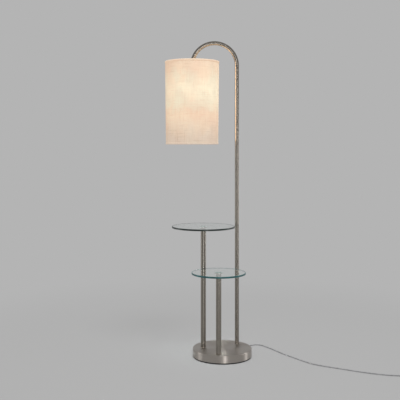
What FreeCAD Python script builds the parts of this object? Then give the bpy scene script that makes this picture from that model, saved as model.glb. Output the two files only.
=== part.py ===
"""Floor lamp with a two-shelf glass table on one round base.

A weighted round base carries three upright tubes. Two short thick ones hold a round glass
shelf each, and a tall thin one rises behind them, bends over in a half circle and comes down
inside a tall drum shade. The flex leaves the base at the back.

Millimetres, +Z up. The origin is the centre of the base's underside, on the floor. +X points
to the side of the tall tube and -Y to the front, where the lower shelf stands.
"""

import FreeCAD
import Part
import Sketcher

import math
import os

Vector = FreeCAD.Vector
UP = Vector(0, 0, 1)

# ---------------------------------------------------------------- driving dimensions
# Each is one cell of the sheet, in millimetres, or degrees where the name says angle.
DRIVING = [
    ("on_axis", 0.0),
    # base
    ("base_radius", 140.0),
    ("base_edge_round", 2.5),
    ("cover_wall", 1.5),
    ("cover_height", 35.0),
    ("pad_thickness", 6.0),
    ("pad_inset", 3.0),
    ("pad_edge_round", 1.0),
    ("plate_thickness", 2.0),
    ("plate_gap", 0.3),
    ("weight_thickness", 16.0),
    ("weight_gap", 2.0),
    ("boss_radius", 20.0),
    ("boss_roof", 6.5),
    ("recess_radius", 15.0),
    ("channel_width", 14.0),
    ("channel_height", 12.5),
    ("base_screw_circle", 60.0),
    ("base_screw_radius", 2.5),
    ("base_screw_head_radius", 4.6),
    ("base_screw_length", 14.0),
    # fits
    ("fit_gap", 0.05),
    ("thread_gap", 0.1),
    ("hole_gap", 0.3),
    # the three uprights
    ("upper_pole_inset", 49.8),
    ("upper_pole_angle", 176.1859),
    ("lower_pole_inset", 22.781),
    ("lower_pole_angle", 260.1761),
    ("stem_inset", 39.187),
    ("stem_angle", 43.1913),
    ("pole_radius", 12.5),
    ("pole_wall", 1.2),
    ("stem_radius", 10.0),
    ("stem_wall", 1.2),
    ("foot_insert_height", 20.0),
    ("top_insert_height", 16.0),
    ("joint_insert_height", 15.0),
    ("bolt_radius", 5.0),
    ("bolt_head_height", 6.4),
    ("bolt_reach", 16.0),
    ("hex_corner_radius", 9.8),
    ("nut_height", 6.0),
    ("washer_radius", 10.5),
    ("washer_thickness", 2.0),
    ("nipple_bore_radius", 3.5),
    ("nipple_tail", 1.4),
    ("joint_nipple_length", 24.0),
    # shelves
    ("glass_thickness", 8.0),
    ("glass_edge_round", 1.5),
    ("upper_glass_stem_gap", 15.22),
    ("upper_glass_top", 620.0),
    ("lower_glass_pole_gap", 2.72),
    ("lower_glass_top", 420.0),
    ("bond_thickness", 0.6),
    ("hub_radius", 18.0),
    ("hub_thickness", 4.0),
    ("stud_radius", 4.0),
    ("stud_length", 14.0),
    # stem sections and arch
    ("lower_seam_z", 560.0),
    ("upper_seam_z", 1080.0),
    ("arch_radius", 109.0),
    ("arch_centre_z", 1393.0),
    ("arch_drop", 22.0),
    # lampholder
    ("holder_cap_height", 22.0),
    ("holder_cap_radius", 20.0),
    ("holder_wall", 2.0),
    ("holder_boss_height", 9.0),
    ("holder_boss_radius", 9.0),
    ("holder_flange_radius", 24.5),
    ("holder_flange_thickness", 3.0),
    ("holder_body_height", 34.0),
    ("holder_body_radius", 19.5),
    ("holder_bore_radius", 14.4),
    ("core_height", 9.0),
    ("core_bore_radius", 3.0),
    ("shell_wall", 0.6),
    ("shell_gap", 0.2),
    ("contact_radius", 4.0),
    ("contact_thickness", 1.2),
    ("ring_radius", 26.0),
    ("ring_height", 10.0),
    ("ring_gap", 0.2),
    ("seat_gap", 0.3),
    # shade
    ("shade_top_z", 1412.5),
    ("shade_height", 402.0),
    ("shade_top_radius", 131.2),
    ("shade_bottom_radius", 127.4),
    ("fabric_thickness", 0.9),
    ("lining_thickness", 0.4),
    ("lining_gap", 0.1),
    ("hem_thickness", 0.7),
    ("hem_height", 8.0),
    ("wire_radius", 2.0),
    ("spider_hub_thickness", 2.0),
    ("spider_hub_gap", 0.7),
    ("spider_hub_rim", 5.0),
    # bulb
    ("bulb_radius", 30.0),
    ("bulb_centre_drop", 50.0),
    ("bulb_neck_radius", 15.5),
    ("bulb_glass_thickness", 1.0),
    ("collar_height", 18.0),
    ("collar_top_radius", 13.8),
    ("collar_gap", 1.0),
    ("cap_crest_radius", 13.1),
    ("cap_root_radius", 12.2),
    ("cap_thread_pitch", 3.6),
    ("cap_length", 22.5),
    ("cap_contact_radius", 3.5),
    ("cap_contact_height", 2.0),
    # flex and its gland
    ("cord_radius", 2.75),
    ("exit_angle", 50.0),
    ("exit_z", 14.5),
    ("gland_length", 28.0),
    ("gland_root_radius", 5.6),
    ("gland_tip_radius", 3.9),
    ("gland_flange_radius", 6.2),
    ("gland_flange_thickness", 2.0),
    ("gland_neck_radius", 4.9),
    ("gland_hole_gap", 0.1),
    ("gland_bore_gap", 0.15),
    # foot switch, along its own length
    ("switch_length", 76.0),
    ("switch_width", 36.0),
    ("switch_base_height", 11.5),
    ("switch_cover_height", 10.5),
    ("switch_wall", 2.2),
    ("switch_edge_round", 3.0),
    ("switch_lift", 0.3),
    ("button_radius", 11.0),
    ("button_flange_radius", 12.8),
    ("button_flange_thickness", 1.8),
    ("button_gap", 0.4),
    ("button_rise", 4.0),
    ("button_edge_round", 1.6),
    ("button_travel", 3.0),
    ("button_pocket_radius", 6.2),
    ("button_pocket_depth", 5.2),
    ("spring_radius", 5.0),
    ("spring_wire_radius", 0.45),
    ("spring_turns", 5.0),
    ("block_length", 34.0),
    ("block_width", 20.0),
    ("block_height", 7.4),
    ("terminal_length", 7.0),
    ("terminal_width", 5.0),
    ("terminal_height", 5.0),
    ("terminal_spread", 5.5),
    ("switch_screw_radius", 1.5),
    ("switch_screw_head_radius", 2.8),
    ("switch_screw_head_height", 1.6),
    ("switch_screw_length", 11.0),
    ("switch_screw_spread", 29.0),
    ("screw_boss_radius", 3.6),
    # plug, along its own length
    ("plug_neck_length", 24.0),
    ("plug_neck_radius", 4.2),
    ("plug_shoulder_radius", 6.0),
    ("plug_length", 38.0),
    ("plug_rear_width", 19.0),
    ("plug_waist_width", 34.0),
    ("plug_front_width", 29.0),
    ("plug_waist_at", 22.0),
    ("plug_thickness", 13.7),
    ("plug_edge_round", 2.5),
    ("pin_radius", 2.0),
    ("pin_root_radius", 1.4),
    ("pin_length", 19.0),
    ("pin_depth", 12.0),
    ("pin_spacing", 19.0),
    ("sleeve_length", 10.0),
    ("sleeve_radius", 1.9),
    # put-away coil and its tie
    ("coil_outer_radius", 36.0),
    ("coil_turns", 5.0),
    ("coil_pitch", 6.1),
    ("coil_base_z", 3.95),
    ("tie_thickness", 0.7),
    ("tie_width", 7.0),
    ("tie_gap", 0.3),
    ("tie_angle", 300.0),
    ("tie_tab_length", 9.0),
]

# Worked out from the driving dimensions.
DERIVED = [
    # base levels and radii
    ("cover_bottom_z", "=pad_thickness"),
    ("cover_top_z", "=pad_thickness + cover_height"),
    ("cover_roof_z", "=cover_top_z - cover_wall"),
    ("cover_inner_radius", "=base_radius - cover_wall"),
    ("pad_radius", "=base_radius - pad_inset"),
    ("plate_radius", "=cover_inner_radius - plate_gap"),
    ("plate_top_z", "=pad_thickness + plate_thickness"),
    ("weight_radius", "=cover_inner_radius - weight_gap"),
    ("boss_height", "=cover_roof_z - plate_top_z - weight_thickness"),
    ("weight_top_z", "=plate_top_z + weight_thickness"),
    ("recess_roof_z", "=cover_roof_z - boss_roof"),
    ("recess_height", "=recess_roof_z - plate_top_z"),
    ("bolt_hole_radius", "=bolt_radius + hole_gap"),
    ("bolt_hole_height", "=cover_top_z - plate_top_z + 1"),
    ("base_screw_hole_radius", "=base_screw_radius + thread_gap"),
    ("base_screw_countersink_radius", "=base_screw_head_radius + thread_gap"),
    ("washer_z", "=recess_roof_z - washer_thickness"),
    ("bolt_head_z", "=washer_z - bolt_head_height"),
    ("nut_z", "=washer_z - nut_height"),
    ("bolt_top_z", "=cover_top_z + bolt_reach"),
    ("bolt_shank_length", "=bolt_top_z - washer_z"),
    ("nipple_bottom_z", "=nut_z - nipple_tail"),
    ("thread_bore_radius", "=bolt_radius + thread_gap"),
    # where the uprights stand, each one its own distance in from the base's edge
    ("upper_pole_x", "=(base_radius - upper_pole_inset) * cos(upper_pole_angle)"),
    ("upper_pole_y", "=(base_radius - upper_pole_inset) * sin(upper_pole_angle)"),
    ("lower_pole_x", "=(base_radius - lower_pole_inset) * cos(lower_pole_angle)"),
    ("lower_pole_y", "=(base_radius - lower_pole_inset) * sin(lower_pole_angle)"),
    ("stem_x", "=(base_radius - stem_inset) * cos(stem_angle)"),
    ("stem_y", "=(base_radius - stem_inset) * sin(stem_angle)"),
    # each glass disc reaches to its own distance from the tube beside it
    ("stem_pole_spacing", "=sqrt((stem_x - upper_pole_x) ^ 2 + (stem_y - upper_pole_y) ^ 2)"),
    ("pole_spacing",
     "=sqrt((lower_pole_x - upper_pole_x) ^ 2 + (lower_pole_y - upper_pole_y) ^ 2)"),
    ("upper_glass_radius", "=stem_pole_spacing - stem_radius - upper_glass_stem_gap"),
    ("lower_glass_radius", "=pole_spacing - pole_radius - lower_glass_pole_gap"),
    # poles
    ("pole_bore_radius", "=pole_radius - pole_wall"),
    ("pole_insert_radius", "=pole_bore_radius - fit_gap"),
    ("foot_insert_top_z", "=cover_top_z + foot_insert_height"),
    ("stem_bore_radius", "=stem_radius - stem_wall"),
    ("stem_insert_radius", "=stem_bore_radius - fit_gap"),
    ("upper_glass_z", "=upper_glass_top - glass_thickness"),
    ("upper_bond_z", "=upper_glass_z - bond_thickness"),
    ("upper_pole_top_z", "=upper_bond_z - hub_thickness"),
    ("upper_insert_z", "=upper_pole_top_z - top_insert_height"),
    ("upper_stud_z", "=upper_pole_top_z - stud_length"),
    ("lower_glass_z", "=lower_glass_top - glass_thickness"),
    ("lower_bond_z", "=lower_glass_z - bond_thickness"),
    ("lower_pole_top_z", "=lower_bond_z - hub_thickness"),
    ("lower_insert_z", "=lower_pole_top_z - top_insert_height"),
    ("lower_stud_z", "=lower_pole_top_z - stud_length"),
    ("stud_bore_radius", "=stud_radius + thread_gap"),
    # stem
    ("stem_lower_length", "=lower_seam_z - cover_top_z"),
    ("lower_joint_insert_z", "=lower_seam_z - joint_insert_height"),
    ("upper_joint_insert_z", "=upper_seam_z - joint_insert_height"),
    ("lower_nipple_z", "=lower_seam_z - joint_nipple_length / 2"),
    ("upper_nipple_z", "=upper_seam_z - joint_nipple_length / 2"),
    ("head_x", "=stem_x - 2 * arch_radius"),
    ("drop_end_z", "=arch_centre_z - arch_drop"),
    ("drop_insert_top_z", "=drop_end_z + joint_insert_height"),
    # lampholder
    ("holder_z", "=drop_end_z - holder_cap_height"),
    ("holder_boss_z", "=drop_end_z - holder_boss_height"),
    ("holder_cap_bore_radius", "=holder_cap_radius - holder_wall"),
    ("holder_crown_z", "=drop_end_z - holder_wall"),
    ("holder_shoulder_z", "=drop_end_z - holder_cap_height / 3"),
    ("holder_shoulder_inner_z", "=holder_shoulder_z - holder_wall / 2"),
    ("head_nipple_z", "=drop_end_z - holder_boss_height"),
    ("head_nipple_top_z", "=drop_end_z + joint_nipple_length / 2"),
    ("flange_z", "=holder_z - holder_flange_thickness"),
    ("holder_mouth_z", "=holder_z - holder_body_height"),
    ("core_radius", "=holder_cap_bore_radius - fit_gap"),
    ("core_z", "=holder_z - core_height"),
    ("core_pocket_radius", "=core_radius + fit_gap"),
    ("shell_outer_radius", "=holder_bore_radius - fit_gap"),
    ("shell_inner_radius", "=shell_outer_radius - shell_wall"),
    ("shell_top_z", "=core_z - shell_gap"),
    ("shell_bottom_z", "=holder_mouth_z + 1"),
    ("contact_z", "=core_z - contact_thickness"),
    ("spider_hub_top_z", "=flange_z - seat_gap"),
    ("spider_hub_z", "=spider_hub_top_z - spider_hub_thickness"),
    ("spider_hub_bore_radius", "=holder_body_radius + spider_hub_gap"),
    ("spider_hub_radius", "=max(holder_flange_radius; ring_radius) + spider_hub_rim"),
    ("ring_top_z", "=spider_hub_z - seat_gap"),
    ("ring_z", "=ring_top_z - ring_height"),
    ("ring_bore_radius", "=holder_body_radius + ring_gap"),
    # shade
    ("shade_bottom_z", "=shade_top_z - shade_height"),
    ("fabric_top_inner_radius", "=shade_top_radius - fabric_thickness"),
    ("fabric_bottom_inner_radius", "=shade_bottom_radius - fabric_thickness"),
    ("lining_top_radius", "=fabric_top_inner_radius - lining_gap"),
    ("lining_bottom_radius", "=fabric_bottom_inner_radius - lining_gap"),
    ("lining_top_inner_radius", "=lining_top_radius - lining_thickness"),
    ("lining_bottom_inner_radius", "=lining_bottom_radius - lining_thickness"),
    ("hem_top_z", "=shade_top_z + hem_thickness"),
    ("hem_top_low_z", "=shade_top_z - hem_height"),
    ("hem_top_bore_radius", "=shade_top_radius + lining_gap"),
    ("hem_top_radius", "=hem_top_bore_radius + hem_thickness"),
    ("hem_bottom_z", "=shade_bottom_z - hem_thickness"),
    ("hem_bottom_high_z", "=shade_bottom_z + hem_height"),
    ("hem_slope", "=(shade_top_radius - shade_bottom_radius) * hem_height / shade_height"),
    ("hem_bottom_bore_radius", "=shade_bottom_radius + lining_gap + hem_slope"),
    ("hem_bottom_radius", "=hem_bottom_bore_radius + hem_thickness"),
    ("top_wire_z", "=shade_top_z - seat_gap - wire_radius"),
    ("top_wire_ring_radius", "=lining_top_inner_radius - seat_gap - wire_radius"),
    ("bottom_wire_z", "=shade_bottom_z + seat_gap + wire_radius"),
    ("bottom_wire_ring_radius", "=lining_bottom_inner_radius - seat_gap - wire_radius"),
    ("hem_top_inner_radius", "=top_wire_ring_radius - wire_radius"),
    ("hem_bottom_inner_radius", "=bottom_wire_ring_radius - wire_radius"),
    # bulb
    ("bulb_centre_z", "=holder_mouth_z - bulb_centre_drop"),
    ("bulb_inner_radius", "=bulb_radius - bulb_glass_thickness"),
    ("bulb_neck_inner_radius", "=bulb_neck_radius - bulb_glass_thickness"),
    ("collar_top_z", "=holder_mouth_z - collar_gap"),
    ("collar_z", "=collar_top_z - collar_height"),
    ("bulb_neck_length", "=collar_z - bulb_centre_z"),
    ("cap_top_z", "=collar_top_z + cap_length"),
    ("bulb_contact_z", "=cap_top_z"),
    # gland
    ("gland_hole_radius", "=gland_neck_radius + gland_hole_gap"),
    ("gland_bore_radius", "=cord_radius + gland_bore_gap"),
    # switch, measured from the end where the flex from the lamp goes in
    ("switch_floor_z", "=switch_lift + switch_wall"),
    ("switch_split_z", "=switch_lift + switch_base_height"),
    ("switch_top_z", "=switch_split_z + switch_cover_height"),
    ("switch_ceiling_z", "=switch_top_z - switch_wall"),
    ("button_flange_top_z", "=switch_ceiling_z - seat_gap"),
    ("button_z", "=button_flange_top_z - button_flange_thickness"),
    ("button_top_z", "=switch_top_z + button_rise"),
    ("button_hole_radius", "=button_radius + button_gap"),
    ("button_pocket_top_z", "=button_z + button_pocket_depth"),
    ("block_top_z", "=switch_floor_z + block_height"),
    ("cord_hole_radius", "=cord_radius + gland_bore_gap"),
]

# The flex from the lamp to the foot switch, from its second point on: x, y, z. Its first
# point is where it leaves the base, and its last one is inside the switch's end wall.
FLEX_ROUTE = [
    (116.3, 138.7, 14.5), (148.0, 176.5, 3.0), (169.0, 191.0, 3.0), (192.0, 189.0, 3.0),
    (211.5, 170.0, 3.0), (233.0, 136.0, 3.0), (258.0, 93.0, 3.0), (287.5, 38.0, 3.0),
    (321.0, -13.5, 3.0), (358.5, -69.0, 3.0), (402.0, -131.0, 3.0), (447.0, -164.5, 3.0),
    (505.0, -197.0, 3.0), (568.0, -235.5, 3.0), (632.0, -270.0, 3.0), (696.0, -297.0, 3.0),
    (752.0, -309.0, 3.0), (783.0, -311.0, 3.0), (803.0, -307.0, 8.5),
]
SWITCH_ENTRY = (822.0, -300.5, 8.5)
SWITCH_HEADING = 18.9
# From the switch to the coil, again without the point inside the switch's end wall.
LEAD_ROUTE = [
    (914.7, -268.8, 8.5), (932.5, -252.7, 6.2), (942.3, -230.8, 3.95), (942.3, -210.8, 3.95),
]
COIL_CENTRE = (906.3, -205.3)
# From the coil's top layer to the plug.
TAIL_ROUTE = [
    (942.3, -199.8, 10.05), (942.3, -181.8, 9.6), (940.6, -163.9, 7.6), (936.7, -146.3, 7.3),
]
PLUG_HEADING = 102.5
ARC_SHARE = 0.45  # of the shorter run beside each turn of a free cord
CORD_INTO_WALL = 4.0
ARM_ANGLES = (90.0, 210.0, 330.0)
BASE_SCREW_ANGLES = (0.0, 120.0, 240.0)

doc = FreeCAD.newDocument("floor_lamp_with_table")
sheet = doc.addObject("Spreadsheet::Sheet", "Sizes")
for row, (alias, content) in enumerate(DRIVING + DERIVED, 1):
    sheet.set("A%d" % row, alias)
    sheet.set("B%d" % row, str(content))
    sheet.setAlias("B%d" % row, alias)
doc.recompute()

nodes = {}


def size(alias):
    """The value of one cell of the sheet."""
    return float(sheet.get(alias))


def bind(target, **properties):
    """Ties properties of an object to cells of the sheet."""
    for name, alias in properties.items():
        target.setExpression(name, "Sizes." + alias)
    return target


def put(target, x=None, y=None, z=None):
    """Ties an object's place to cells of the sheet."""
    for axis, alias in zip("xyz", (x, y, z)):
        if alias:
            target.setExpression("Placement.Base." + axis, "Sizes." + alias)
    return target


def node(target, label):
    """Names an object as one sub-part of the lamp."""
    target.Label = label
    nodes[label] = target
    return target


# ---------------------------------------------------------------- ways of making a piece
def origin_plane(body, role):
    """One of a body's own origin planes."""
    return [item for item in body.Origin.OriginFeatures if item.Role == role][0]


def new_sketch(body, name, role):
    """An empty sketch on one of a body's origin planes."""
    sketch = body.newObject("Sketcher::SketchObject", name)
    sketch.AttachmentSupport = (origin_plane(body, role), [""])
    sketch.MapMode = "FlatFace"
    return sketch


def drive_point(sketch, geometry, end, across, along):
    """Fixes one end of an edge at two cells' distances from the sketch's origin."""
    for kind, alias in (("DistanceX", across), ("DistanceY", along)):
        index = sketch.addConstraint(
            Sketcher.Constraint(kind, -1, 1, geometry, end, size(alias))
        )
        sketch.setExpression("Constraints[%d]" % index, "Sizes." + alias)


def outline_sketch(body, name, role, corners):
    """A closed outline of straight edges whose corners are pairs of cells."""
    sketch = new_sketch(body, name, role)
    points = [Vector(size(across), size(along), 0) for across, along in corners]
    count = len(points)
    for index in range(count):
        sketch.addGeometry(Part.LineSegment(points[index], points[(index + 1) % count]), False)
    for index in range(count):
        following = (index + 1) % count
        sketch.addConstraint(Sketcher.Constraint("Coincident", index, 2, following, 1))
    for index, (across, along) in enumerate(corners):
        drive_point(sketch, index, 1, across, along)
    return sketch


def circle_sketch(body, name, circles, level="on_axis"):
    """Circles on the XY plane, each given by the cells of its centre and radius."""
    sketch = new_sketch(body, name, "XY_Plane")
    sketch.setExpression("AttachmentOffset.Base.z", "Sizes." + level)
    for index, (x, y, radius) in enumerate(circles):
        centre = Vector(size(x), size(y), 0)
        sketch.addGeometry(Part.Circle(centre, UP, size(radius)), False)
        drive_point(sketch, index, 3, x, y)
        mark = sketch.addConstraint(Sketcher.Constraint("Radius", index, size(radius)))
        sketch.setExpression("Constraints[%d]" % mark, "Sizes." + radius)
    return sketch


def turned(label, corners, x=None, y=None, z=None, angle=360.0):
    """A body turned about its own Z axis from an outline of (radius, height) cells."""
    body = doc.addObject("PartDesign::Body", label)
    sketch = outline_sketch(body, label + "_outline", "XZ_Plane", corners)
    turn = body.newObject("PartDesign::Revolution", label + "_turn")
    turn.Profile = sketch
    turn.ReferenceAxis = (sketch, ["V_Axis"])
    turn.Angle = angle
    put(body, x, y, z)
    body.Label = label
    return body


def sleeve(label, inner, outer, low, high, x=None, y=None):
    """A straight tube between two levels."""
    corners = [(inner, low), (outer, low), (outer, high), (inner, high)]
    return turned(label, corners, x, y)


def disc(label, radius, low, high, x=None, y=None):
    """A solid disc between two levels."""
    return sleeve(label, "on_axis", radius, low, high, x, y)


def extrude(body, kind, name, sketch, length, upwards=True):
    """A pad or pocket of a sketch, by a cell's length."""
    feature = body.newObject("PartDesign::" + kind, name)
    feature.Profile = sketch
    bind(feature, Length=length)
    feature.Reversed = upwards if kind == "Pocket" else not upwards
    return feature


def round_edges(body, name, radius, chosen):
    """A fillet on those edges of a body's last feature that a test picks."""
    doc.recompute()
    base = body.Tip
    names = ["Edge%d" % n for n, edge in enumerate(base.Shape.Edges, 1) if chosen(edge)]
    fillet = body.newObject("PartDesign::Fillet", name)
    fillet.Base = (base, names)
    bind(fillet, Radius=radius)
    return fillet


def circle_at(radius, z):
    """A test for whole circles of one radius at one level, in the body's own frame."""
    def found(edge):
        curve = edge.Curve
        if not isinstance(curve, Part.Circle):
            return False
        return abs(curve.Radius - size(radius)) < 1e-4 and abs(curve.Center.z - size(z)) < 1e-4
    return found


def cylinder(name, radius, height, x=None, y=None, z=None):
    """A cylinder standing on a level."""
    return put(bind(doc.addObject("Part::Cylinder", name), Radius=radius, Height=height), x, y, z)


def cut(label, base, *tools):
    """One shape less others."""
    tool = tools[0]
    if len(tools) > 1:
        tool = fuse(label + "_tools", *tools)
    result = doc.addObject("Part::Cut", label)
    result.Base = base
    result.Tool = tool
    result.Label = label
    return result


def fuse(label, *shapes):
    """Several shapes as one solid."""
    result = doc.addObject("Part::MultiFuse", label)
    result.Shapes = list(shapes)
    result.Label = label
    return result


def group(label, *shapes):
    """Identical pieces that share one node."""
    result = doc.addObject("Part::Compound", label)
    result.Links = list(shapes)
    result.Label = label
    return result


def plain(label, shape):
    """A piece whose shape is worked out here from the sheet's values."""
    result = doc.addObject("Part::Feature", label)
    result.Shape = shape
    result.Label = label
    return result


def facing(x, y, z, heading):
    """A place whose own Z axis lies level along a heading, with its own Y axis up."""
    turn = FreeCAD.Rotation(UP, heading).multiply(FreeCAD.Rotation(Vector(0, 1, 0), 90))
    return FreeCAD.Placement(Vector(x, y, z), turn)


def level_at(x, y, heading):
    """A place turned about Z only, for pieces that lie on the floor."""
    return FreeCAD.Placement(Vector(x, y, 0), FreeCAD.Rotation(UP, heading))


# ---------------------------------------------------------------- routes of cords
def arc_between(start, mid, end):
    return Part.Arc(start, mid, end).toShape()


def rounded_route(points, radii):
    """Straight runs joined by tangent arcs of the given radii, one for each inner point."""
    edges = []
    here = points[0]
    for before, corner, after, radius in zip(points, points[1:], points[2:], radii):
        into = (corner - before).normalize()
        out = (after - corner).normalize()
        turn = into.getAngle(out)
        reach = radius * math.tan(turn / 2)
        start = corner - into * reach
        end = corner + out * reach
        inward = (out - into).normalize()
        centre = corner + inward * (radius / math.cos(turn / 2))
        middle = centre - inward * radius
        if (start - here).Length > 1e-6:
            edges.append(Part.LineSegment(here, start).toShape())
        edges.append(arc_between(start, middle, end))
        here = end
    if (points[-1] - here).Length > 1e-6:
        edges.append(Part.LineSegment(here, points[-1]).toShape())
    return Part.Wire(edges)


def largest_radii(points):
    """The radius at each inner point that its two runs allow."""
    radii = []
    for before, corner, after in zip(points, points[1:], points[2:]):
        first = corner - before
        second = after - corner
        turn = first.getAngle(second)
        radii.append(ARC_SHARE * min(first.Length, second.Length) / math.tan(turn / 2))
    return radii


def tube_along(route, radius):
    """A round solid whose centreline is a route."""
    first = route.OrderedEdges[0] if hasattr(route, "OrderedEdges") else route.Edges[0]
    start = first.valueAt(first.FirstParameter)
    along = first.tangentAt(first.FirstParameter)
    section = Part.Wire(Part.Circle(start, along, radius).toShape())
    return route.makePipeShell([section], True, False)


def free_cord(label, points):
    """A stretch of flex along its route, with its measures printed."""
    points = [Vector(*point) for point in points]
    radii = largest_radii(points)
    route = rounded_route(points, radii)
    piece = plain(label, tube_along(route, size("cord_radius")))
    section = math.pi * size("cord_radius") ** 2
    print("%s: length %.1f, volume / (section x length) %.5f, least radius %.1f" % (
        label, route.Length, piece.Shape.Volume / (section * route.Length), min(radii)))
    print("  radii " + " ".join("%.0f" % radius for radius in radii))
    return piece


# ---------------------------------------------------------------- base
def make_base():
    """Foot pad, bottom plate, cast weight and pressed cover, with their screws."""
    pad = disc("base_pad", "pad_radius", "on_axis", "pad_thickness")
    round_edges(pad, "pad_edge", "pad_edge_round", circle_at("pad_radius", "on_axis"))
    node(pad, "base_pad")

    holes = []
    screws = []
    for number, angle in enumerate(BASE_SCREW_ANGLES, 1):
        x = size("base_screw_circle") * math.cos(math.radians(angle))
        y = size("base_screw_circle") * math.sin(math.radians(angle))
        place = FreeCAD.Placement(Vector(x, y, size("pad_thickness")), FreeCAD.Rotation())
        screw = fuse("base_screw_%d" % number, *screw_pieces(number, place))
        screws.append(screw)
        countersink = doc.addObject("Part::Cone", "countersink_%d" % number)
        bind(countersink, Radius1="base_screw_countersink_radius", Radius2="base_screw_hole_radius",
             Height="plate_thickness")
        countersink.Placement = place
        holes.append(countersink)
    node(group("base_screws", *screws), "base_screws")
    plate = disc("bottom_plate_blank", "plate_radius", "pad_thickness", "plate_top_z")
    node(cut("base_bottom_plate", plate, *holes), "base_bottom_plate")

    weight = doc.addObject("PartDesign::Body", "base_weight")
    slab = circle_sketch(weight, "slab_outline", [("on_axis", "on_axis", "weight_radius")],
                         "plate_top_z")
    extrude(weight, "Pad", "slab", slab, "weight_thickness")
    poles = [("upper_pole_x", "upper_pole_y"), ("lower_pole_x", "lower_pole_y"),
             ("stem_x", "stem_y")]
    bosses = circle_sketch(weight, "boss_outlines", [(x, y, "boss_radius") for x, y in poles],
                           "weight_top_z")
    extrude(weight, "Pad", "bosses", bosses, "boss_height")
    doc.recompute()
    recesses = circle_sketch(weight, "recess_outlines",
                             [(x, y, "recess_radius") for x, y in poles], "plate_top_z")
    extrude(weight, "Pocket", "recesses", recesses, "recess_height")
    bores = circle_sketch(weight, "bore_outlines",
                          [(x, y, "bolt_hole_radius") for x, y in poles], "plate_top_z")
    extrude(weight, "Pocket", "bores", bores, "bolt_hole_height")
    tools = [cable_channel()]
    for number, angle in enumerate(BASE_SCREW_ANGLES, 1):
        tapped = cylinder("tapped_hole_%d" % number, "base_screw_hole_radius",
                          "base_screw_length")
        x = size("base_screw_circle") * math.cos(math.radians(angle))
        y = size("base_screw_circle") * math.sin(math.radians(angle))
        tapped.Placement = FreeCAD.Placement(Vector(x, y, size("plate_top_z")),
                                             FreeCAD.Rotation())
        tools.append(tapped)
    weight.Label = "base_weight_casting"
    node(cut("base_weight_finished", weight, *tools), "base_weight")

    cover = turned("cover_pressing", [
        ("cover_inner_radius", "cover_bottom_z"), ("base_radius", "cover_bottom_z"),
        ("base_radius", "cover_top_z"), ("on_axis", "cover_top_z"),
        ("on_axis", "cover_roof_z"), ("cover_inner_radius", "cover_roof_z"),
    ])
    round_edges(cover, "cover_edge", "base_edge_round", circle_at("base_radius", "cover_top_z"))
    holes = [
        cylinder("cover_hole_%d" % number, "bolt_hole_radius", "cover_height", x, y,
                 "cover_bottom_z")
        for number, (x, y) in enumerate(poles, 1)
    ]
    gland_hole = cylinder("gland_hole", "gland_hole_radius", "boss_radius")
    gland_hole.Placement = facing_out(size("base_radius") - size("boss_radius") / 2)
    node(cut("base_cover", cover, gland_hole, *holes), "base_cover")


def screw_pieces(number, place):
    """The head and shank of one countersunk screw."""
    head = doc.addObject("Part::Cone", "screw_head_%d" % number)
    bind(head, Radius1="base_screw_head_radius", Radius2="base_screw_radius",
         Height="plate_thickness")
    shank = cylinder("screw_shank_%d" % number, "base_screw_radius", "base_screw_length")
    head.Placement = place
    shank.Placement = place
    return head, shank


def exit_point(distance):
    """A point on the radius along which the flex leaves the base."""
    angle = math.radians(size("exit_angle"))
    return Vector(distance * math.cos(angle), distance * math.sin(angle), size("exit_z"))


def facing_out(distance):
    """A place on that radius, its own Z axis pointing outwards."""
    point = exit_point(distance)
    return facing(point.x, point.y, point.z, size("exit_angle"))


def channel_start():
    return Vector(size("stem_x"), size("stem_y"), size("exit_z"))


def cable_channel():
    """The groove under the weight from the stem's recess to the side where the flex leaves."""
    start = channel_start()
    end = exit_point(size("weight_radius") + size("channel_width"))
    heading = math.degrees(math.atan2(end.y - start.y, end.x - start.x))
    groove = doc.addObject("Part::Box", "cable_channel")
    groove.Length = math.hypot(end.x - start.x, end.y - start.y)
    bind(groove, Width="channel_width", Height="channel_height")
    turn = FreeCAD.Rotation(UP, heading)
    aside = turn.multVec(Vector(0, -size("channel_width") / 2, 0))
    groove.Placement = FreeCAD.Placement(
        Vector(start.x, start.y, size("plate_top_z")) + aside, turn)
    return groove


# ---------------------------------------------------------------- shelf poles and their feet
def hexagon(name, height, x, y, z):
    """A hexagonal bar standing on a level."""
    bar = doc.addObject("Part::Prism", name)
    bar.Polygon = 6
    bind(bar, Circumradius="hex_corner_radius", Height=height)
    return put(bar, x, y, z)


def make_poles():
    """The two shelf poles with their inserts, bolts and washers."""
    shelf_poles = [("upper", "upper_pole_x", "upper_pole_y"),
                   ("lower", "lower_pole_x", "lower_pole_y")]
    foot_inserts = []
    top_inserts = []
    bolts = []
    for name, x, y in shelf_poles:
        top = name + "_pole_top_z"
        node(sleeve(name + "_shelf_pole", "pole_bore_radius", "pole_radius", "cover_top_z",
                    top, x, y), name + "_shelf_pole")
        foot_inserts.append(sleeve(name + "_foot_insert", "thread_bore_radius",
                                   "pole_insert_radius", "cover_top_z", "foot_insert_top_z", x, y))
        top_inserts.append(sleeve(name + "_top_insert", "stud_bore_radius",
                                  "pole_insert_radius", name + "_insert_z", top, x, y))
        head = hexagon(name + "_bolt_head", "bolt_head_height", x, y, "bolt_head_z")
        shank = cylinder(name + "_bolt_shank", "bolt_radius", "bolt_shank_length", x, y,
                         "washer_z")
        bolts.append(fuse(name + "_bolt", head, shank))
    node(group("pole_foot_inserts", *foot_inserts), "pole_foot_inserts")
    node(group("pole_top_inserts", *top_inserts), "pole_top_inserts")
    node(group("pole_bolts", *bolts), "pole_bolts")
    washers = [
        sleeve(name + "_washer", "thread_bore_radius", "washer_radius", "washer_z",
               "recess_roof_z", x, y)
        for name, x, y in shelf_poles + [("stem", "stem_x", "stem_y")]
    ]
    node(group("foot_washers", *washers), "foot_washers")


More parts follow.
